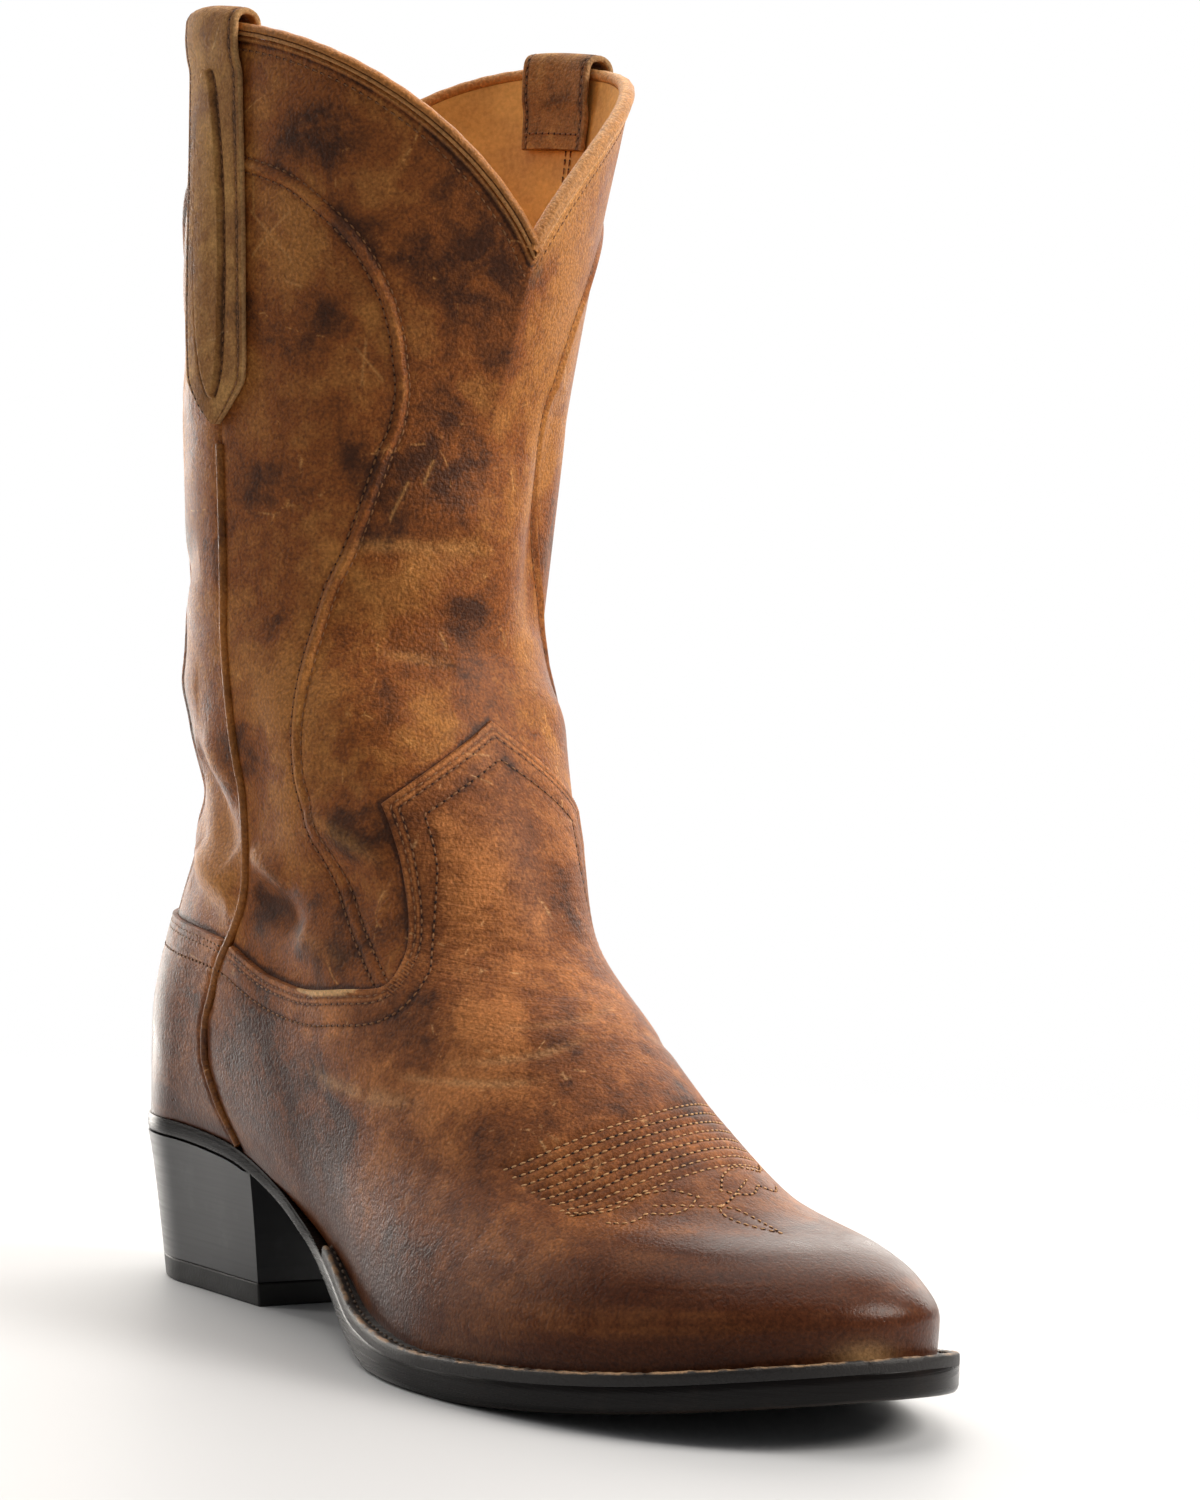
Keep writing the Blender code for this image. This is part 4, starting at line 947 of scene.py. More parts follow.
def make_vamp():
    guides = [beside(vamp_edge, -d) for d in (0.3, 0.7, 1.2, 2.9, 4.6, 5.6)]
    guides += vamp_rows + TOE_LINES + SCROLL_LINES + [beside(row, 1.6) for row in TOE_LINES]
    for row in TOE_LINES + SCROLL_LINES:
        guides += [beside(row, 0.7), beside(row, -0.7)]
    uv, faces = cut_pattern(vamp_outline, guides, VAMP_MESH)
    p = form(uv[:, 1], uv[:, 0])
    top_gap = row_distance([vamp_edge], p)
    height = lasted_height(top_gap, row_distance([vamp_seam, mirrored(vamp_seam)], p), vamp_rows, p)
    height = height + groove(row_distance(TOE_LINES, p), 0.6, 0.9)
    height = height + groove(row_distance(SCROLL_LINES, p), 0.25, 0.7)
    bow = np.clip(1 - ((uv[:, 0] - RAW_EDGE["turn"]) / RAW_EDGE["half"]) ** 2, 0, 1)
    raw = rising(RAW_EDGE["width"] * np.sqrt(bow), top_gap, 0.35)
    scuffed = (p - form(TOE_SCUFF["ring"], TOE_SCUFF["turn"])) / TOE_SCUFF["size"]
    scuff = bell(np.linalg.norm(scuffed, axis=1), 1)
    flex = bell(uv[:, 1] - VAMP_BEND[0], VAMP_BEND[1])
    flex = flex * rising(uv[:, 0], 1.35, 0.25) * falling(uv[:, 0], 2.75, 0.25)
    rubbed_band = 0.6 * bell(top_gap - 2.2, 2.2)
    # Painted shade along the stitch rows and toe rows, in the grooves they draw; a real rubbed pale band
    # below the top edge
    stain = stains(p) - rubbed_band + 0.9 * bell(row_distance(vamp_rows[:2], p), 0.55)
    stain = stain + 0.4 * bell(row_distance(vamp_rows[2:] + TOE_LINES, p), 0.6)
    # The raw crescent is pushed extra pale as a painted highlight; the toe scuff is real wear
    layers = {"edge": np.clip(2.2 * raw + 0.8 * scuff, 0, 1.6), "flex": flex, "stain": stain}
    ob = lay_panel("vamp_leather", uv, faces, height, np.full(len(uv), LASTED_GAP), layers)
    finish_piece(ob, VAMP_LEATHER, ["vamp"])


def make_counter():
    guides = [beside(counter_edge, -d) for d in (0.3, 0.7, 1.2, 2.9)] + counter_rows
    uv, faces = cut_pattern(counter_outline, guides, COUNTER_MESH)
    p = form(uv[:, 1], uv[:, 0])
    seam_gap = row_distance([counter_seam, flipped(counter_seam)], p)
    height = lasted_height(row_distance([counter_edge], p), seam_gap, counter_rows, p)
    layers = {"edge": np.zeros(len(uv)), "flex": np.zeros(len(uv))}
    ob = lay_panel("counter_leather", uv, faces, height, np.full(len(uv), LASTED_GAP), layers)
    finish_piece(ob, VAMP_LEATHER, ["heel_counter"])


# Shaft: a front and a back panel, joined in the side seams
def cord_line(table, sign):
    """A corded line, or its mirror image on the inner side."""
    turns = np.array(table["turn"])
    return run(turns if sign > 0 else (4 - turns if table is FRONT_CORD else -turns), table["ring"])


front_cords = [cord_line(FRONT_CORD, 1), cord_line(FRONT_CORD, -1)]
back_cords = [cord_line(BACK_CORD, 1), cord_line(BACK_CORD, -1)]


def cord_rows(cords):
    return [beside(line, side * CORD_ROW) for line in cords for side in (1, -1)]


def rim_line(first, last):
    turns = np.linspace(first, last, 121)
    return run(turns, np.full(121, TOP_RING), straight=True)


def make_shaft_panel(name, first, last, cords, laid_edge, covered):
    """Front or back of the shaft between two side seams; gives back its stitch rows."""
    side = np.linspace(0, TOP_RING, 240)
    seams = {turn: np.stack([np.full(240, turn), side], 1) for turn in (first, last)}
    rim = rim_line(first, last)
    foot = run(np.linspace(first, last, 60), np.zeros(60), 3.0, straight=True)
    outline = np.concatenate([foot[:-1], seams[last][:-1], rim[::-1][:-1], seams[first][::-1][:-1]])
    rows = cord_rows(cords)
    collar_row = beside(rim, -COLLAR_ROW)
    guides = [beside(rim, -d) for d in (0.4, 0.8, 1.2, 1.6, 2.0, 2.5, 3.2)] + [collar_row] + cords + rows
    guides += [beside(rim, -COLLAR_ROW - d) for d in (-0.6, 0.6)]
    for line in cords:
        guides += [beside(line, way * d) for way in (1, -1) for d in (0.6, 1.2, 2.6, 3.4)]
    scratches = [run((a, c), (b, d), 0.5, straight=True) for a, b, c, d in SCRATCHES if first < a < last]
    for line in scratches:
        guides += [line, beside(line, 0.6), beside(line, -0.6)]
    guides += [beside(laid_edge, d) for d in (0.4, 1.0, 1.8)]
    for turn, inward in ((first, 1), (last, -1)):
        guides += [seams[turn] + (inward * d / FLAT_TURN, 0) for d in (0.8, 1.7, 2.8)]
    uv, faces = cut_pattern(outline, guides, SHAFT_MESH, covered)
    p = form(uv[:, 1], uv[:, 0])
    rim_gap = row_distance([rim], p)
    seam_gap = row_distance(list(seams.values()), p)
    cord_gap = row_distance(cords, p)
    full = np.clip((uv[:, 1] - 7.0) / 2.5, 0.25, 1)
    height = CORD_RIDGE[0] * bell(cord_gap, CORD_RIDGE[1]) * full + groove(row_distance(rows, p), 0.3, 0.7)
    height = height + 0.6 * bell(rim_gap - RIM_RIDGE, 0.55) + groove(rim_gap - RIM_GROOVE, 0.3, 0.35)
    height = height + groove(rim_gap - COLLAR_ROW, 0.22, 0.6)
    height = height - SEAM_DIP[0] * np.clip(1 - seam_gap / SEAM_DIP[1], 0, 1) ** 2
    # Painted shade: dark lines in the stitch grooves beside the cords, in the groove below the rim, and
    # beside the laid edge of vamp or counter
    painted_shade_lines = np.maximum.reduce([0.5 * bell(cord_gap - CORD_ROW, 0.7),
                                    0.8 * bell(rim_gap - RIM_GROOVE, 0.4),
                                    1.2 * bell(row_distance([laid_edge], p), 1.1)])
    # Painted highlight: a pale band within 6 mm of the rim on the inner side, added to the real pale ridge
    # and scratches
    painted_highlight_inner_rim = rising(uv[:, 0], 2.0, 0.08) * np.exp(-(rim_gap / 6.0) ** 4)
    pale_marks_and_highlight = np.maximum(0.6 * bell(rim_gap - RIM_RIDGE, 0.4) + 0.7 * painted_highlight_inner_rim,
                            0.8 * bell(row_distance(scratches, p), 0.4))
    layers = {"edge": pale_marks_and_highlight, "flex": np.zeros(len(uv)), "stain": stains(p) + painted_shade_lines}
    ob = lay_panel(name, uv, faces, height, np.full(len(uv), -SHAFT_SKIN), layers)
    finish_piece(ob, SHAFT_LEATHER, ["upper"])
    return rows, collar_row


def vamp_covers(uv):
    """Places of the shaft that the vamp hides."""
    side = np.where(uv[:, 0] > 2, 4 - uv[:, 0], uv[:, 0])
    top = np.interp(side, (1.0, 1.2, 1.42, 1.56, 2.0), (5.2, 5.2, 5.7, 6.6, 8.2))
    return uv[:, 1] < top - 0.4


def counter_covers(uv):
    """Places of the shaft that the heel counter hides."""
    return uv[:, 1] < 4.9


# Sweeps and shells
def grid_object(name, grid, wrap_rows=False, wrap_cols=False, caps=False, layers=None, sharp_deg=50):
    """Surface through a grid of points, closed round its rows or columns, or capped at its ends."""
    rows, cols = grid.shape[:2]
    faces = []
    for i in range(rows if wrap_rows else rows - 1):
        for j in range(cols if wrap_cols else cols - 1):
            a, b = i * cols + j, i * cols + (j + 1) % cols
            c, d = ((i + 1) % rows) * cols + (j + 1) % cols, ((i + 1) % rows) * cols + j
            faces.append((a, b, c, d))
    if caps:
        faces += [tuple(reversed(range(cols))), tuple((rows - 1) * cols + j for j in range(cols))]
    ob = mesh_object(name, grid.reshape(-1, 3), faces, sharp_deg, layers)
    bm = bmesh.new()
    bm.from_mesh(ob.data)
    bmesh.ops.remove_doubles(bm, verts=bm.verts, dist=0.00001)
    bmesh.ops.recalc_face_normals(bm, faces=bm.faces)
    bm.to_mesh(ob.data)
    bm.free()
    return ob


def make_lining():
    """Inner shell with its side seams and faint slanting creases."""
    turns = np.linspace(0, 4, 193)[:-1]
    rings = np.concatenate([np.linspace(0, 9, 50)[:-1], np.linspace(9, TOP_RING, 60)])
    turn, ring = np.meshgrid(turns, rings)
    p, normal, _ = frame_at(ring.ravel(), turn.ravel())
    fold, _ = fold_heights(p)
    seam = np.minimum(np.abs(turn.ravel() - 1), np.abs(turn.ravel() - 3)) * FLAT_TURN
    outer = p + normal * (fold + LINING_OUT)[:, None]
    slant = np.sin(p[:, 2] / 3.1 + p[:, 0] / 5.3 + 1.3 * np.sin(p[:, 0] / 11))
    slant = slant * np.sin(p[:, 2] / 13 + p[:, 0] / 9)
    inner = p + normal * (fold + LINING_IN - 0.5 * bell(seam, 2.5) - 0.22 * slant)[:, None]
    for face in (outer, inner):
        face[:, 2] = np.maximum(face[:, 2], from_table(SOLE_TOP, face[:, 0]) + 0.02)
    both = np.stack([outer.reshape(*ring.shape, 3), inner.reshape(*ring.shape, 3)])
    loop = np.concatenate([both[0], both[1][::-1]])
    ob = grid_object("shaft_lining", loop, wrap_rows=True, wrap_cols=True)
    finish_piece(ob, LINING_LEATHER, ["upper"])


def tube(name, core, normal, up, radius, layers, sides=12):
    """Round cord along a line of points."""
    across = np.cross(normal, up)
    angle = np.arange(sides) * 2 * np.pi / sides
    ring = (core[:, None] + radius * (np.cos(angle)[None, :, None] * across[:, None]
                                      + np.sin(angle)[None, :, None] * normal[:, None]))
    layers = {label: np.repeat(values, sides) for label, values in layers.items()}
    return grid_object(name, ring, wrap_cols=True, caps=True, layers=layers)


def make_piping(name, sign):
    rings = np.linspace(0.1, STRAP_TIP - 0.1, 220)
    turn = seam_turn(rings) if sign > 0 else 4 - seam_turn(rings)
    p, normal, up = frame_at(rings, turn)
    fold, _ = fold_heights(p)
    lift = np.where(rings < VAMP_LINE["ring"][0], 0.85, -0.05)
    lift = np.convolve(np.pad(lift, 6, mode="edge"), np.ones(13) / 13, mode="valid")
    foot = {"stain": 0.5 * falling(rings, VAMP_LINE["ring"][0] + 0.5, 1.0)}
    ob = tube(name + "_cord", p + normal * (fold + lift)[:, None], normal, up, SEAM_CORD, foot)
    finish_piece(ob, PIPING_LEATHER, [name])


def make_binding():
    """Rolled strip on the collar's rim, with painted shade in its groove and a painted highlight on the inner
    side.
    """
    turns = np.linspace(0, 4, 401)[:-1]
    rim, normal, up = frame_at(np.full(400, TOP_RING), turns)
    fold, _ = fold_heights(rim)
    along_rim = np.roll(rim, -1, 0) - np.roll(rim, 1, 0)
    above = unit(np.cross(normal, along_rim))
    above *= np.sign((above * up).sum(1))[:, None]
    out, high = np.array(ROLL_SECTION).T
    pucker = 1 + 0.02 * np.sin(turns * 90)
    bead = (rim[:, None] + normal[:, None] * (out[None, :, None] + fold[:, None, None])
            + above[:, None] * (high[None] * pucker[:, None])[..., None])
    # Painted highlight: the roll paler on the inner side of the boot
    painted_highlight_inner_side = rising(turns, 2.0, 0.1) * falling(turns, 3.4, 0.3)
    section = np.arange(len(ROLL_SECTION))
    pale = np.where(section < ROLL_GROOVE, 0.8, np.where(section >= ROLL_INSIDE, 0.9, 0.2))[None]
    pale = pale + 0.6 * painted_highlight_inner_side[:, None]
    # Painted shade in the roll's groove, the rest of the roll a little lighter
    dark = np.tile(np.where(section == ROLL_GROOVE, 1.2, -0.5), (len(turns), 1))
    layers = {"edge": (pale * (section != ROLL_GROOVE)).ravel(), "stain": dark.ravel()}
    ob = grid_object("collar_roll", bead, wrap_rows=True, wrap_cols=True, layers=layers)
    finish_piece(ob, PIPING_LEATHER, ["collar_binding"])


# Pull straps
def strap_grid(sign, across, count):
    """Middle of the strap: from its point up the outside, over the collar and down inside."""
    rings = np.array(STRAP_LEG["ring"])
    per_turn = np.linalg.norm(form(12.0, 1.05) - form(12.0, 0.95)) / 0.1
    plan = [("leg", r, s) for r, s in zip(rings, STRAP_LEG["share"])]
    plan += [("loop", k, 1.0) for k in range(len(STRAP_LOOP))]
    plan += [("inside", r, 1.0) for r in STRAP_INNER_RINGS]
    lines = []
    for kind, where, share in plan:
        ring = TOP_RING if kind == "loop" else where
        drift = rising(ring, rings[0], TOP_RING - rings[0])
        turn = 1 + (STRAP_TURN_TOP - 1) * drift + across * share * STRAP_HALF / per_turn
        turn = turn if sign > 0 else 4 - turn
        p, normal, up = frame_at(np.full(len(turn), ring), turn)
        fold, _ = fold_heights(p)
        p = p + normal * fold[:, None]
        if kind == "leg":
            lines.append(p + normal * (0.35 + STRAP / 2))
        elif kind == "inside":
            lines.append(p + normal * (LINING_IN - 0.5 - STRAP / 2))
        else:
            out, high = STRAP_LOOP[where]
            lines.append(p + normal * out + up * high)
    lines = np.array(lines)
    length = run_length(lines[:, len(across) // 2])
    even = np.linspace(0, length[-1], count)
    return through(length, lines, even), even, length


def make_strap(name, sign):
    """One strap with its raised strip; gives back its stitch rows."""
    across = np.concatenate([[-1.0, -0.985, -0.96, -0.92], np.linspace(-STRAP_ROW, STRAP_ROW, 63),
                             [0.92, 0.96, 0.985, 1.0]])
    aside = np.abs(across)
    middle, s, marks = strap_grid(sign, across, 170)
    face = unit(np.cross(np.gradient(middle, axis=1), np.gradient(middle, axis=0)))
    outward = frame_at(11.4, 1.0 if sign > 0 else 3.0)[1]
    if (face[40, 35] * outward).sum() < 0:
        face = -face
    # Lens-shaped raised strip on the outside leg
    lens_from, lens_to = marks[1] + 1.5, marks[6] + 11.0
    place = rising(s, lens_from, lens_to - lens_from)
    half = STRIP_HALF * np.clip(np.sin(np.pi * place), 0, 1) ** 0.35
    has_strip = (half > 0.02)[:, None]
    rise = falling(aside[None], half[:, None], 0.05)
    rise = STRIP_HEIGHT * rise * rise * (3 - 2 * rise)
    edge = 0.45 + 0.55 * np.sqrt(np.clip(1 - rising(aside, 0.9, 0.1) ** 2, 0, 1))
    dip = groove(np.abs(aside - STRAP_ROW) * STRAP_HALF, 0.22, 0.7)
    beside_strip = (aside[None] - half[:, None]) * STRAP_HALF - 0.7
    rise = rise + groove(beside_strip, 0.6, 0.7) * has_strip
    outside = middle + face * (STRAP / 2 * edge[None] + rise + dip[None])[..., None]
    under = middle - face * (STRAP / 2 * edge[None])[..., None]
    loop = np.concatenate([outside, under[:, ::-1]], 1)
    rows, cols = loop.shape[:2]
    wear = np.tile(0.5 * np.concatenate([aside > 0.97, aside[::-1] > 0.97])[None], (rows, 1))
    # Painted shade in the grooves beside the raised strip and along the stitch rows; the raised strip is made
    # lighter
    dark = 1.1 * bell(beside_strip, 0.75) * has_strip - 0.45 * np.clip(rise, 0, 1)
    dark = np.maximum(dark, 0.8 * bell((aside - STRAP_ROW) * STRAP_HALF, 0.6)[None])
    layers = {label: np.zeros(rows * cols) for label in ("worn", "burnish", "flex")}
    layers.update(edge=wear.ravel(), stain=np.concatenate([1.2 * dark, 0 * dark], 1).ravel())
    ob = grid_object(name + "_leather", loop, wrap_cols=True, caps=True, layers=layers)
    finish_piece(ob, STRAP_LEATHER, [name])
    lines = []
    for share in (-STRAP_ROW, STRAP_ROW):
        j = int(np.argmin(np.abs(across - share)))
        lines.append((outside[3:-2, j], face[3:-2, j]))
    on_lens = np.where((place > 0.03) & (place < 0.97))[0]
    for way in (-1, 1):
        path = np.array([np.argmin(np.abs(across - way * (h + 0.05))) for h in half])[on_lens]
        lines.append((outside[on_lens, path], face[on_lens, path]))
    lines.append((outside[-6, 4:-4], face[-6, 4:-4]))
    return lines


# Sole
def feather_offset(turn, reach):
    """Feather line moved outwards in plan, and its outward direction."""
    p = form(np.zeros(len(turn)), turn)
    ahead, behind = form(np.zeros(len(turn)), turn + 0.002), form(np.zeros(len(turn)), turn - 0.002)
    tangent = unit(ahead[:, :2] - behind[:, :2])
    outwards = np.stack([tangent[:, 1], -tangent[:, 0]], 1)
    return p[:, :2] + outwards * np.asarray(reach(p[:, 0]))[:, None], outwards


def sole_reach(x):
    return from_table(SOLE_REACH, x)


def sole_top(x):
    return from_table(SOLE_TOP, x)


def sole_tread(x):
    return from_table(SOLE_TREAD, x)


def sole_layer(reach, top, bottom, profile):
    """Rows of a board with a shaped edge: profile points are (inset, share of the way down)."""
    turn = np.linspace(0, 4, 641)[:-1]
    edge, outwards = feather_offset(turn, reach)
    middle_y = 0.5 * (edge[:, 1] + edge[(-np.arange(640)) % 640, 1])
    heel_end, toe_end = edge[:, 0].min() + SPINE_HEEL, edge[:, 0].max() - SPINE_TOE
    spine = np.stack([np.clip(edge[:, 0], heel_end, toe_end), middle_y], 1)
    for sel, x in ((edge[:, 0] < heel_end, heel_end), (edge[:, 0] > toe_end, toe_end)):
        spine[sel, 1] = np.interp(x, edge[:321, 0], middle_y[:321])

    def across(share, height):
        q = (edge - outwards * 2.0) * (1 - share) + spine * share
        return np.stack([q[:, 0], q[:, 1], height(q[:, 0])], 1)

    rows = [across(share, top) for share in BOARD_ROWS]
    for inset, level in profile:
        q = edge - outwards * inset
        high, low = top(q[:, 0]), bottom(q[:, 0])
        rows.append(np.stack([q[:, 0], q[:, 1], high + (low - high) * level], 1))
    return np.array(rows + [across(share, bottom) for share in reversed(BOARD_ROWS)])


def make_outsole():
    profile = ((1.0, 0.0), (0.12, 0.0), (0.02, 0.03), (0.0, 0.3), (0.0, 0.55), (0.0, 0.72), (0.25, 0.86),
               (0.8, 0.96), (1.9, 1.0))
    grid = sole_layer(sole_reach, lambda x: sole_top(x) - 0.05, sole_tread, profile)
    worn = np.zeros(grid.shape[:2])
    tread_edge = len(BOARD_ROWS) + len(profile)
    # Painted highlight: the lower bevel of the edge takes the paler sheen colour
    worn[tread_edge - 2:tread_edge] = 0.35
    ob = grid_object("leather_outsole", grid, wrap_cols=True, layers={"edge": worn.ravel()})
    finish_piece(ob, SOLE_LEATHER, ["outsole"])


def make_insole():
    profile = ((0.8, 0.0), (0.0, 0.3), (0.0, 0.8), (0.3, 1.0))
    grid = sole_layer(lambda x: np.full(x.shape, -INSOLE_INSET), lambda x: sole_top(x) + INSOLE_THICK,
                      lambda x: sole_top(x) + 0.1, profile)
    ob = grid_object("leather_insole", grid, wrap_cols=True)
    finish_piece(ob, INSOLE_LEATHER, ["insole"])


def make_welt():
    """Strip round the forefoot with a ragged top edge; gives back its stitch row."""
    turn = np.linspace(1.0, 3.0, 1201)
    turn = turn[form(np.zeros(len(turn)), turn)[:, 0] > WELT_FROM]
    edge, outwards = feather_offset(turn, sole_reach)
    feather, _ = feather_offset(turn, lambda x: np.full(x.shape, -0.4))
    s = run_length(edge)
    ragged = 0.22 * np.sin(s / 1.7) * np.sin(s / 4.3 + 1) + 0.12 * np.sin(s / 0.63)
    # Section points: inset from the sole's edge (None at the feather line), share of the thickness
    section = ((None, 0.0), (0.02, 0.0), (0.02, 0.5), (0.1, 0.85), (0.5, 1.0), (1.1, 1.06), (2.2, 0.94),
               (3.6, 0.9), (None, 0.9))
    rows = []
    for inset, level in section:
        if inset is None:
            q = feather
        else:
            q = edge - outwards * (inset + (ragged if 0.3 < inset < 2 else 0 * ragged))[:, None]
        z = sole_top(q[:, 0]) + WELT_THICK * level + (0.5 * ragged if level > 0.86 else 0)
        rows.append(np.stack([q[:, 0], q[:, 1], z], 1))
    grid = np.array(rows).transpose(1, 0, 2)
    worn = np.zeros(grid.shape[:2])
    worn[:, 4:6] = 1.0
    worn[:, 3] = 0.25
    side = grid_object("welt_strip", grid, wrap_cols=True, caps=True, layers={"edge": worn.ravel()})
    finish_piece(side, WELT_LEATHER, ["welt"])
    row = edge - outwards * 2.9
    points = np.stack([row[:, 0], row[:, 1], sole_top(row[:, 0]) + WELT_THICK * 0.95], 1)
    return [(points, np.tile((0.0, 0.0, 1.0), (len(points), 1)))]


def heel_outline(count=160):
    """Seat of the heel from breast to breast round its back, and its foot on the floor."""
    turn = np.linspace(-1.2, 1.2, 2001)
    seat, _ = feather_offset(np.mod(turn, 4), lambda x: sole_reach(x) - 0.1)
    seat = seat[seat[:, 0] < HEEL_BREAST_TOP]
    s = run_length(seat)
    even = np.linspace(0, s[-1], count)
    seat = np.stack([np.interp(even, s, seat[:, 0]), np.interp(even, s, seat[:, 1])], 1)
    seat[[0, -1], 0] = HEEL_BREAST_TOP
    breast = np.linspace(seat[-1], seat[0], 24)[1:-1]
    return np.concatenate([seat, breast])


def heel_block(name, rows):
    """Heel between rows (height from the floor, or None for the seat), with rounded arrises."""
    seat = heel_outline()
    back = seat[:, 0].min()
    share = (seat[:, 0] - back) / (HEEL_BREAST_TOP - back)
    foot_x = HEEL_BACK_FOOT + share * (HEEL_BREAST_FOOT - HEEL_BACK_FOOT)
    seat_z = sole_tread(seat[:, 0]) - 0.02
    grid = []
    for height in rows:
        z = seat_z if height is None else np.full(len(seat), float(height))
        slope = np.clip(1 - z / seat_z, 0, 1) ** 0.85
        x = seat[:, 0] + (foot_x - seat[:, 0]) * slope
        y = seat[:, 1] * (1 + (HEEL_TAPER - 1) * slope)
        grid.append(np.stack([x, y, z], 1))
    ob = grid_object(name, np.array(grid), wrap_cols=True, caps=True, sharp_deg=35)
    bevel = ob.modifiers.new("arris", "BEVEL")
    bevel.width = 0.6 * MM
    bevel.segments = 3
    bevel.limit_method = "ANGLE"
    bevel.angle_limit = math.radians(48)
    bpy.context.view_layer.update()
    rounded = bpy.data.meshes.new_from_object(ob.evaluated_get(bpy.context.evaluated_depsgraph_get()))
    ob.modifiers.clear()
    ob.data = rounded
    return ob


def make_heel():
    heights = [None] + list(np.linspace(36, HEEL_LIFT + 0.05, 12))
    finish_piece(heel_block("stacked_heel", heights), TREAD_LEATHER, ["heel_stack"])
    lift = heel_block("rubber_lift", list(np.linspace(HEEL_LIFT - 0.05, 0, 4)))
    finish_piece(lift, HEEL_RUBBER, ["heel_top_lift"])


# Stitches: short threads along rows, with dark beads of painted shadow in the needle holes between them
def stitch_tree():
    """Geometry nodes: instances along the rows' curves, turned to the row and to the leather."""
    tree = bpy.data.node_groups.new("stitch rows", "GeometryNodeTree")
    tree.interface.new_socket("Geometry", in_out="INPUT", socket_type="NodeSocketGeometry")
    for label in ("Pitch", "Length", "Width", "Height"):
        tree.interface.new_socket(label, in_out="INPUT", socket_type="NodeSocketFloat")
    tree.interface.new_socket("Material", in_out="INPUT", socket_type="NodeSocketMaterial")
    tree.interface.new_socket("Geometry", in_out="OUTPUT", socket_type="NodeSocketGeometry")
    given = add(tree, "NodeGroupInput").outputs
    curve = add(tree, "GeometryNodeMeshToCurve", {"Mesh": given["Geometry"]})
    even = add(tree, "GeometryNodeResampleCurve", {"Curve": curve.outputs[0], "Length": given["Pitch"]},
               mode="LENGTH")
    facing = add(tree, "GeometryNodeInputNamedAttribute", {"Name": "facing"}, data_type="FLOAT_VECTOR")
    heading = add(tree, "GeometryNodeInputTangent")
    turned = add(tree, "FunctionNodeAlignRotationToVector", {"Vector": heading.outputs[0]}, axis="X")
    upright = {"Rotation": turned.outputs[0], "Vector": facing.outputs["Attribute"]}
    turned = add(tree, "FunctionNodeAlignRotationToVector", upright, axis="Z", pivot_axis="X")
    size = {"X": given["Length"], "Y": given["Width"], "Z": given["Height"]}
    size = add(tree, "ShaderNodeCombineXYZ", size)
    uneven = {"Min": (0.85, 0.85, 0.85), "Max": (1.12, 1.1, 1.1), "Seed": 7}
    uneven = add(tree, "FunctionNodeRandomValue", uneven, data_type="FLOAT_VECTOR")
    bead = add(tree, "GeometryNodeMeshUVSphere", {"Segments": 6, "Rings": 4, "Radius": 0.5})
    bead = add(tree, "GeometryNodeTransform", {"Geometry": bead.outputs["Mesh"], "Scale": size.outputs[0]})
    bead = add(tree, "GeometryNodeSetShadeSmooth", {"Geometry": bead.outputs[0]})
    placing = {"Points": even.outputs[0], "Instance": bead.outputs[0], "Rotation": turned.outputs[0],
               "Scale": uneven.outputs[0]}
    placed = add(tree, "GeometryNodeInstanceOnPoints", placing)
    solid = add(tree, "GeometryNodeRealizeInstances", {"Geometry": placed.outputs[0]})
    dyed = add(tree, "GeometryNodeSetMaterial", {"Geometry": solid.outputs[0], "Material": given["Material"]})
    add(tree, "NodeGroupOutput", {"Geometry": dyed.outputs[0]})
    return tree


STITCHES = stitch_tree()


def sew(name, lines, pitch, length, width, height, material, shift=0.0):
    """Thread or needle holes along lines of (points, facing), started a share of a pitch along."""
    points, facing, edges = [], [], []
    for p, normal in lines:
        step = run_length(p)
        keep = (step >= shift * pitch) & (step <= step[-1] - shift * pitch)
        first = len(points)
        points += list(p[keep])
        facing += list(normal[keep])
        edges += [(k, k + 1) for k in range(first, len(points) - 1)]
    mesh = bpy.data.meshes.new(name)
    mesh.from_pydata([tuple(q) for q in in_frame(points)], edges, [])
    facing_layer = mesh.attributes.new("facing", "FLOAT_VECTOR", "POINT").data
    facing_layer.foreach_set("vector", np.array(facing, np.float32).ravel())
    rows = bpy.data.objects.new(name + "_rows", mesh)
    bpy.context.scene.collection.objects.link(rows)
    maker = rows.modifiers.new("stitches", "NODES")
    maker.node_group = STITCHES
    values = {"Pitch": pitch * MM, "Length": length * MM, "Width": width * MM, "Height": height * MM,
              "Material": material}
    for item in STITCHES.interface.items_tree:
        if item.in_out == "INPUT" and item.name in values:
            maker[item.identifier] = values[item.name]
    bpy.context.view_layer.update()
    sewn = bpy.data.meshes.new_from_object(rows.evaluated_get(bpy.context.evaluated_depsgraph_get()))
    rows.modifiers.clear()
    bpy.data.objects.remove(rows, do_unlink=True)
    ob = bpy.data.objects.new(name, sewn)
    bpy.context.scene.collection.objects.link(ob)
    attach(ob, "root")


def sew_row(name, lines, pitch, material, width=0.62, hole=0.85):
    """Thread on the leather, and dark beads of painted shadow in the needle holes it goes into."""
    sew(name, lines, pitch, THREAD_SHARE * pitch, width, THREAD_HEIGHT, material)
    sew(name + "_holes", lines, pitch, hole, 0.94 * hole, HOLE_HEIGHT, HOLE_SHADOW, shift=0.5)


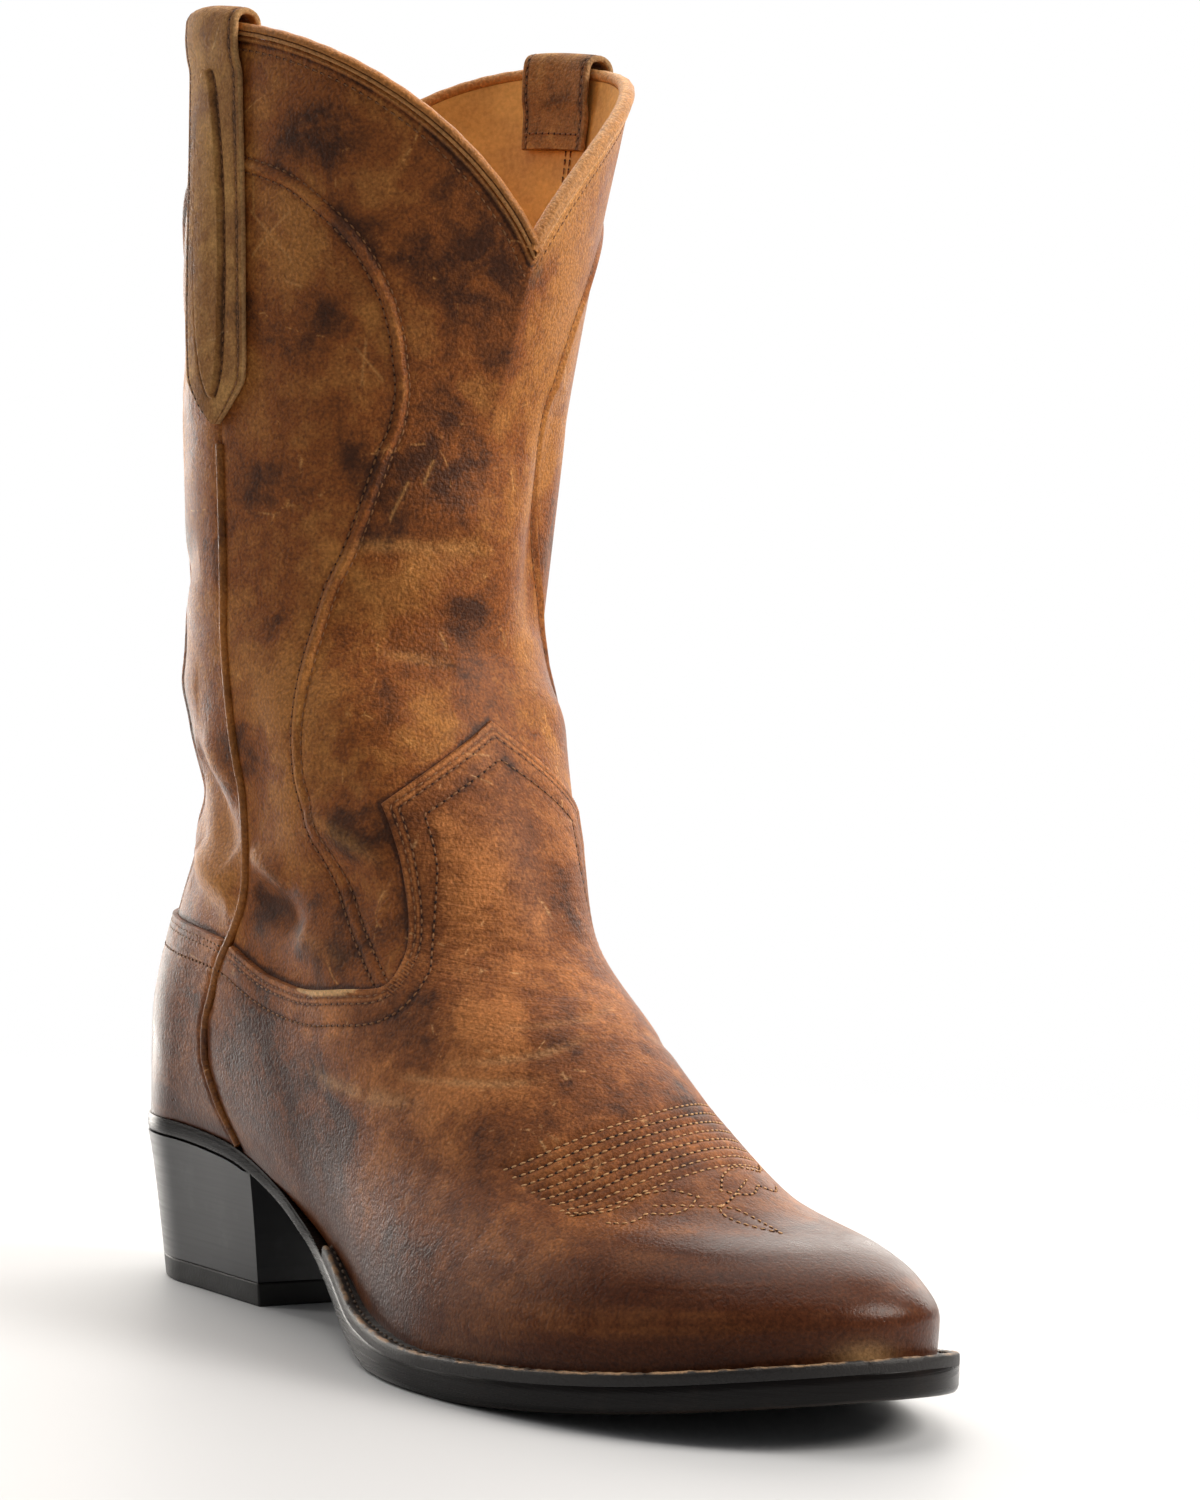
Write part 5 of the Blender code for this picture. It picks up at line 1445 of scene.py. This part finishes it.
def make_stitching(shaft_rows, collar_rows, strap_lines, welt_lines):
    def laid(rows, out):
        return [on_leather(row, np.full(len(row), out)) for row in rows if len(row) > 3]

    sew_row("vamp_stitching", laid(vamp_rows + counter_rows, VAMP_SKIN - 0.22), PITCH, BROWN_THREAD)
    sew_row("toe_stitching", laid(TOE_LINES, VAMP_SKIN - 0.44), TOE_PITCH, TAN_THREAD)
    sew_row("toe_scroll_stitching", laid(SCROLL_LINES, VAMP_SKIN - 0.08), SCROLL_PITCH, TAN_THREAD)
    sew_row("shaft_stitching", laid(shaft_rows, -0.16), PITCH, BROWN_THREAD, 0.6, hole=0.66)
    sew_row("collar_stitching", laid(collar_rows, -0.18), PITCH, BROWN_THREAD, 0.55)
    sew_row("strap_stitching", [(p + n * 0.02, n) for p, n in strap_lines], PITCH, BROWN_THREAD, 0.55)
    seam = run((3.0, 3.0), (9.0, 12.6), straight=True)
    lining_lines = []
    for side in (1.3, -1.3):
        p, normal, _ = frame_at(seam[:, 1], seam[:, 0] + side / FLAT_TURN)
        fold, _ = fold_heights(p)
        lining_lines.append((p + normal * (fold + LINING_IN - 0.55)[:, None], -normal))
    sew_row("lining_stitching", lining_lines, PITCH, BROWN_THREAD, 0.5)
    sew("welt_stitching", welt_lines, WELT_PITCH, 2.5, 0.9, 0.7, WELT_THREAD)


# Build
make_vamp()
make_counter()
front_rows, front_collar = make_shaft_panel("shaft_front", 1.0, 3.0, front_cords, vamp_edge, vamp_covers)
back_rows, back_collar = make_shaft_panel("shaft_back", -1.0, 1.0, back_cords, counter_edge,
                                          counter_covers)
make_lining()
make_piping("side_piping_outer", 1)
make_piping("side_piping_inner", -1)
make_binding()
strap_lines = make_strap("pull_strap_outer", 1) + make_strap("pull_strap_inner", -1)
make_outsole()
make_insole()
welt_lines = make_welt()
make_heel()
make_stitching(front_rows + back_rows, [front_collar, back_collar], strap_lines, welt_lines)


# Floor, light and camera
def make_floor():
    """Pale sweep that fades into the white round it."""
    bpy.ops.mesh.primitive_circle_add(vertices=96, radius=FLOOR_RADIUS, fill_type="NGON", location=(0, 0, 0))
    floor = bpy.context.object
    floor.name = "floor"
    mat, tree, shader, place = new_material("white paper sweep")
    dress(tree, shader, {}, Base_Color=tone("#cfd1d4"), Roughness=0.55)
    reach = add(tree, "ShaderNodeVectorMath", {0: place}, operation="LENGTH").outputs["Value"]
    fade = spread(tree, reach, *FLOOR_FADE, interpolation_type="SMOOTHSTEP")
    clear = add(tree, "ShaderNodeBsdfTransparent").outputs[0]
    mixed = add(tree, "ShaderNodeMixShader", {0: fade, 1: shader.outputs[0], 2: clear})
    tree.links.new(mixed.outputs[0], tree.nodes["Material Output"].inputs["Surface"])
    floor.data.materials.append(mat)


def area_light(name, at, aim, size, watts):
    """Soft panel at a place in metres, aimed at another."""
    data = bpy.data.lights.new(name, "AREA")
    data.shape = "RECTANGLE"
    data.size, data.size_y = size
    data.energy = watts
    data.color = tone(WARM_WHITE)[:3]
    ob = bpy.data.objects.new(name, data)
    ob.location = at
    ob.rotation_euler = (Vector(aim) - Vector(at)).to_track_quat("-Z", "Y").to_euler()
    ob.visible_camera = False
    bpy.context.scene.collection.objects.link(ob)


def make_light():
    """White world, and soft panels where the photo's studio has its reflections."""
    world = bpy.data.worlds.new("white studio")
    bpy.context.scene.world = world
    world.use_nodes = True
    bpy.context.scene.view_settings.view_transform = "Standard"
    tree = world.node_tree
    tree.nodes.clear()
    seen = add(tree, "ShaderNodeLightPath").outputs["Is Camera Ray"]
    level = spread(tree, seen, 0.0, 1.0, FILL_LIGHT, 1.0)
    sky = add(tree, "ShaderNodeBackground", {"Color": tone("#ffffff"), "Strength": level})
    add(tree, "ShaderNodeOutputWorld", {"Surface": sky.outputs[0]})
    area_light("white wall", (-0.95, 0.69, 0.70), (0, 0, 0.2), (2.3, 1.4), 25)
    area_light("overhead", (-0.20, 0.10, 1.25), (0.02, 0, 0.1), (1.1, 1.0), 8)
    area_light("right key", (0.85, 0.75, 0.95), (0, 0, 0.15), (0.7, 0.7), 19)
    area_light("left panel", (-0.85, -0.78, 0.60), (-0.03, 0, 0.22), (0.4, 1.0), 3.2)
    area_light("left rim", (-1.15, 0.0, 0.16), (-0.05, 0, 0.10), (0.42, 0.9), 8.0)


def make_camera():
    """Camera turned round the boot, tipped and rolled as fitted to the photo."""
    a, e, r = (math.radians(v) for v in (CAMERA_TURN_DEG, CAMERA_UP_DEG, CAMERA_ROLL_DEG))
    back = Vector((math.sin(a) * math.cos(e), -math.cos(a) * math.cos(e), math.sin(e)))
    right = Vector((math.cos(a), math.sin(a), 0))
    up = back.cross(right)
    rolled_right = math.cos(r) * right + math.sin(r) * up
    rolled_up = math.cos(r) * up - math.sin(r) * right
    data = bpy.data.cameras.new("camera")
    data.lens = CAMERA_LENS
    data.sensor_width = CAMERA_SENSOR
    data.clip_start, data.clip_end = 0.05, 50
    ob = bpy.data.objects.new("camera", data)
    turned = Matrix((rolled_right, rolled_up, back)).transposed().to_4x4()
    ob.matrix_world = Matrix.Translation(in_frame(CAMERA_AT)) @ turned
    bpy.context.scene.collection.objects.link(ob)
    bpy.context.scene.camera = ob


make_floor()
make_light()
make_camera()
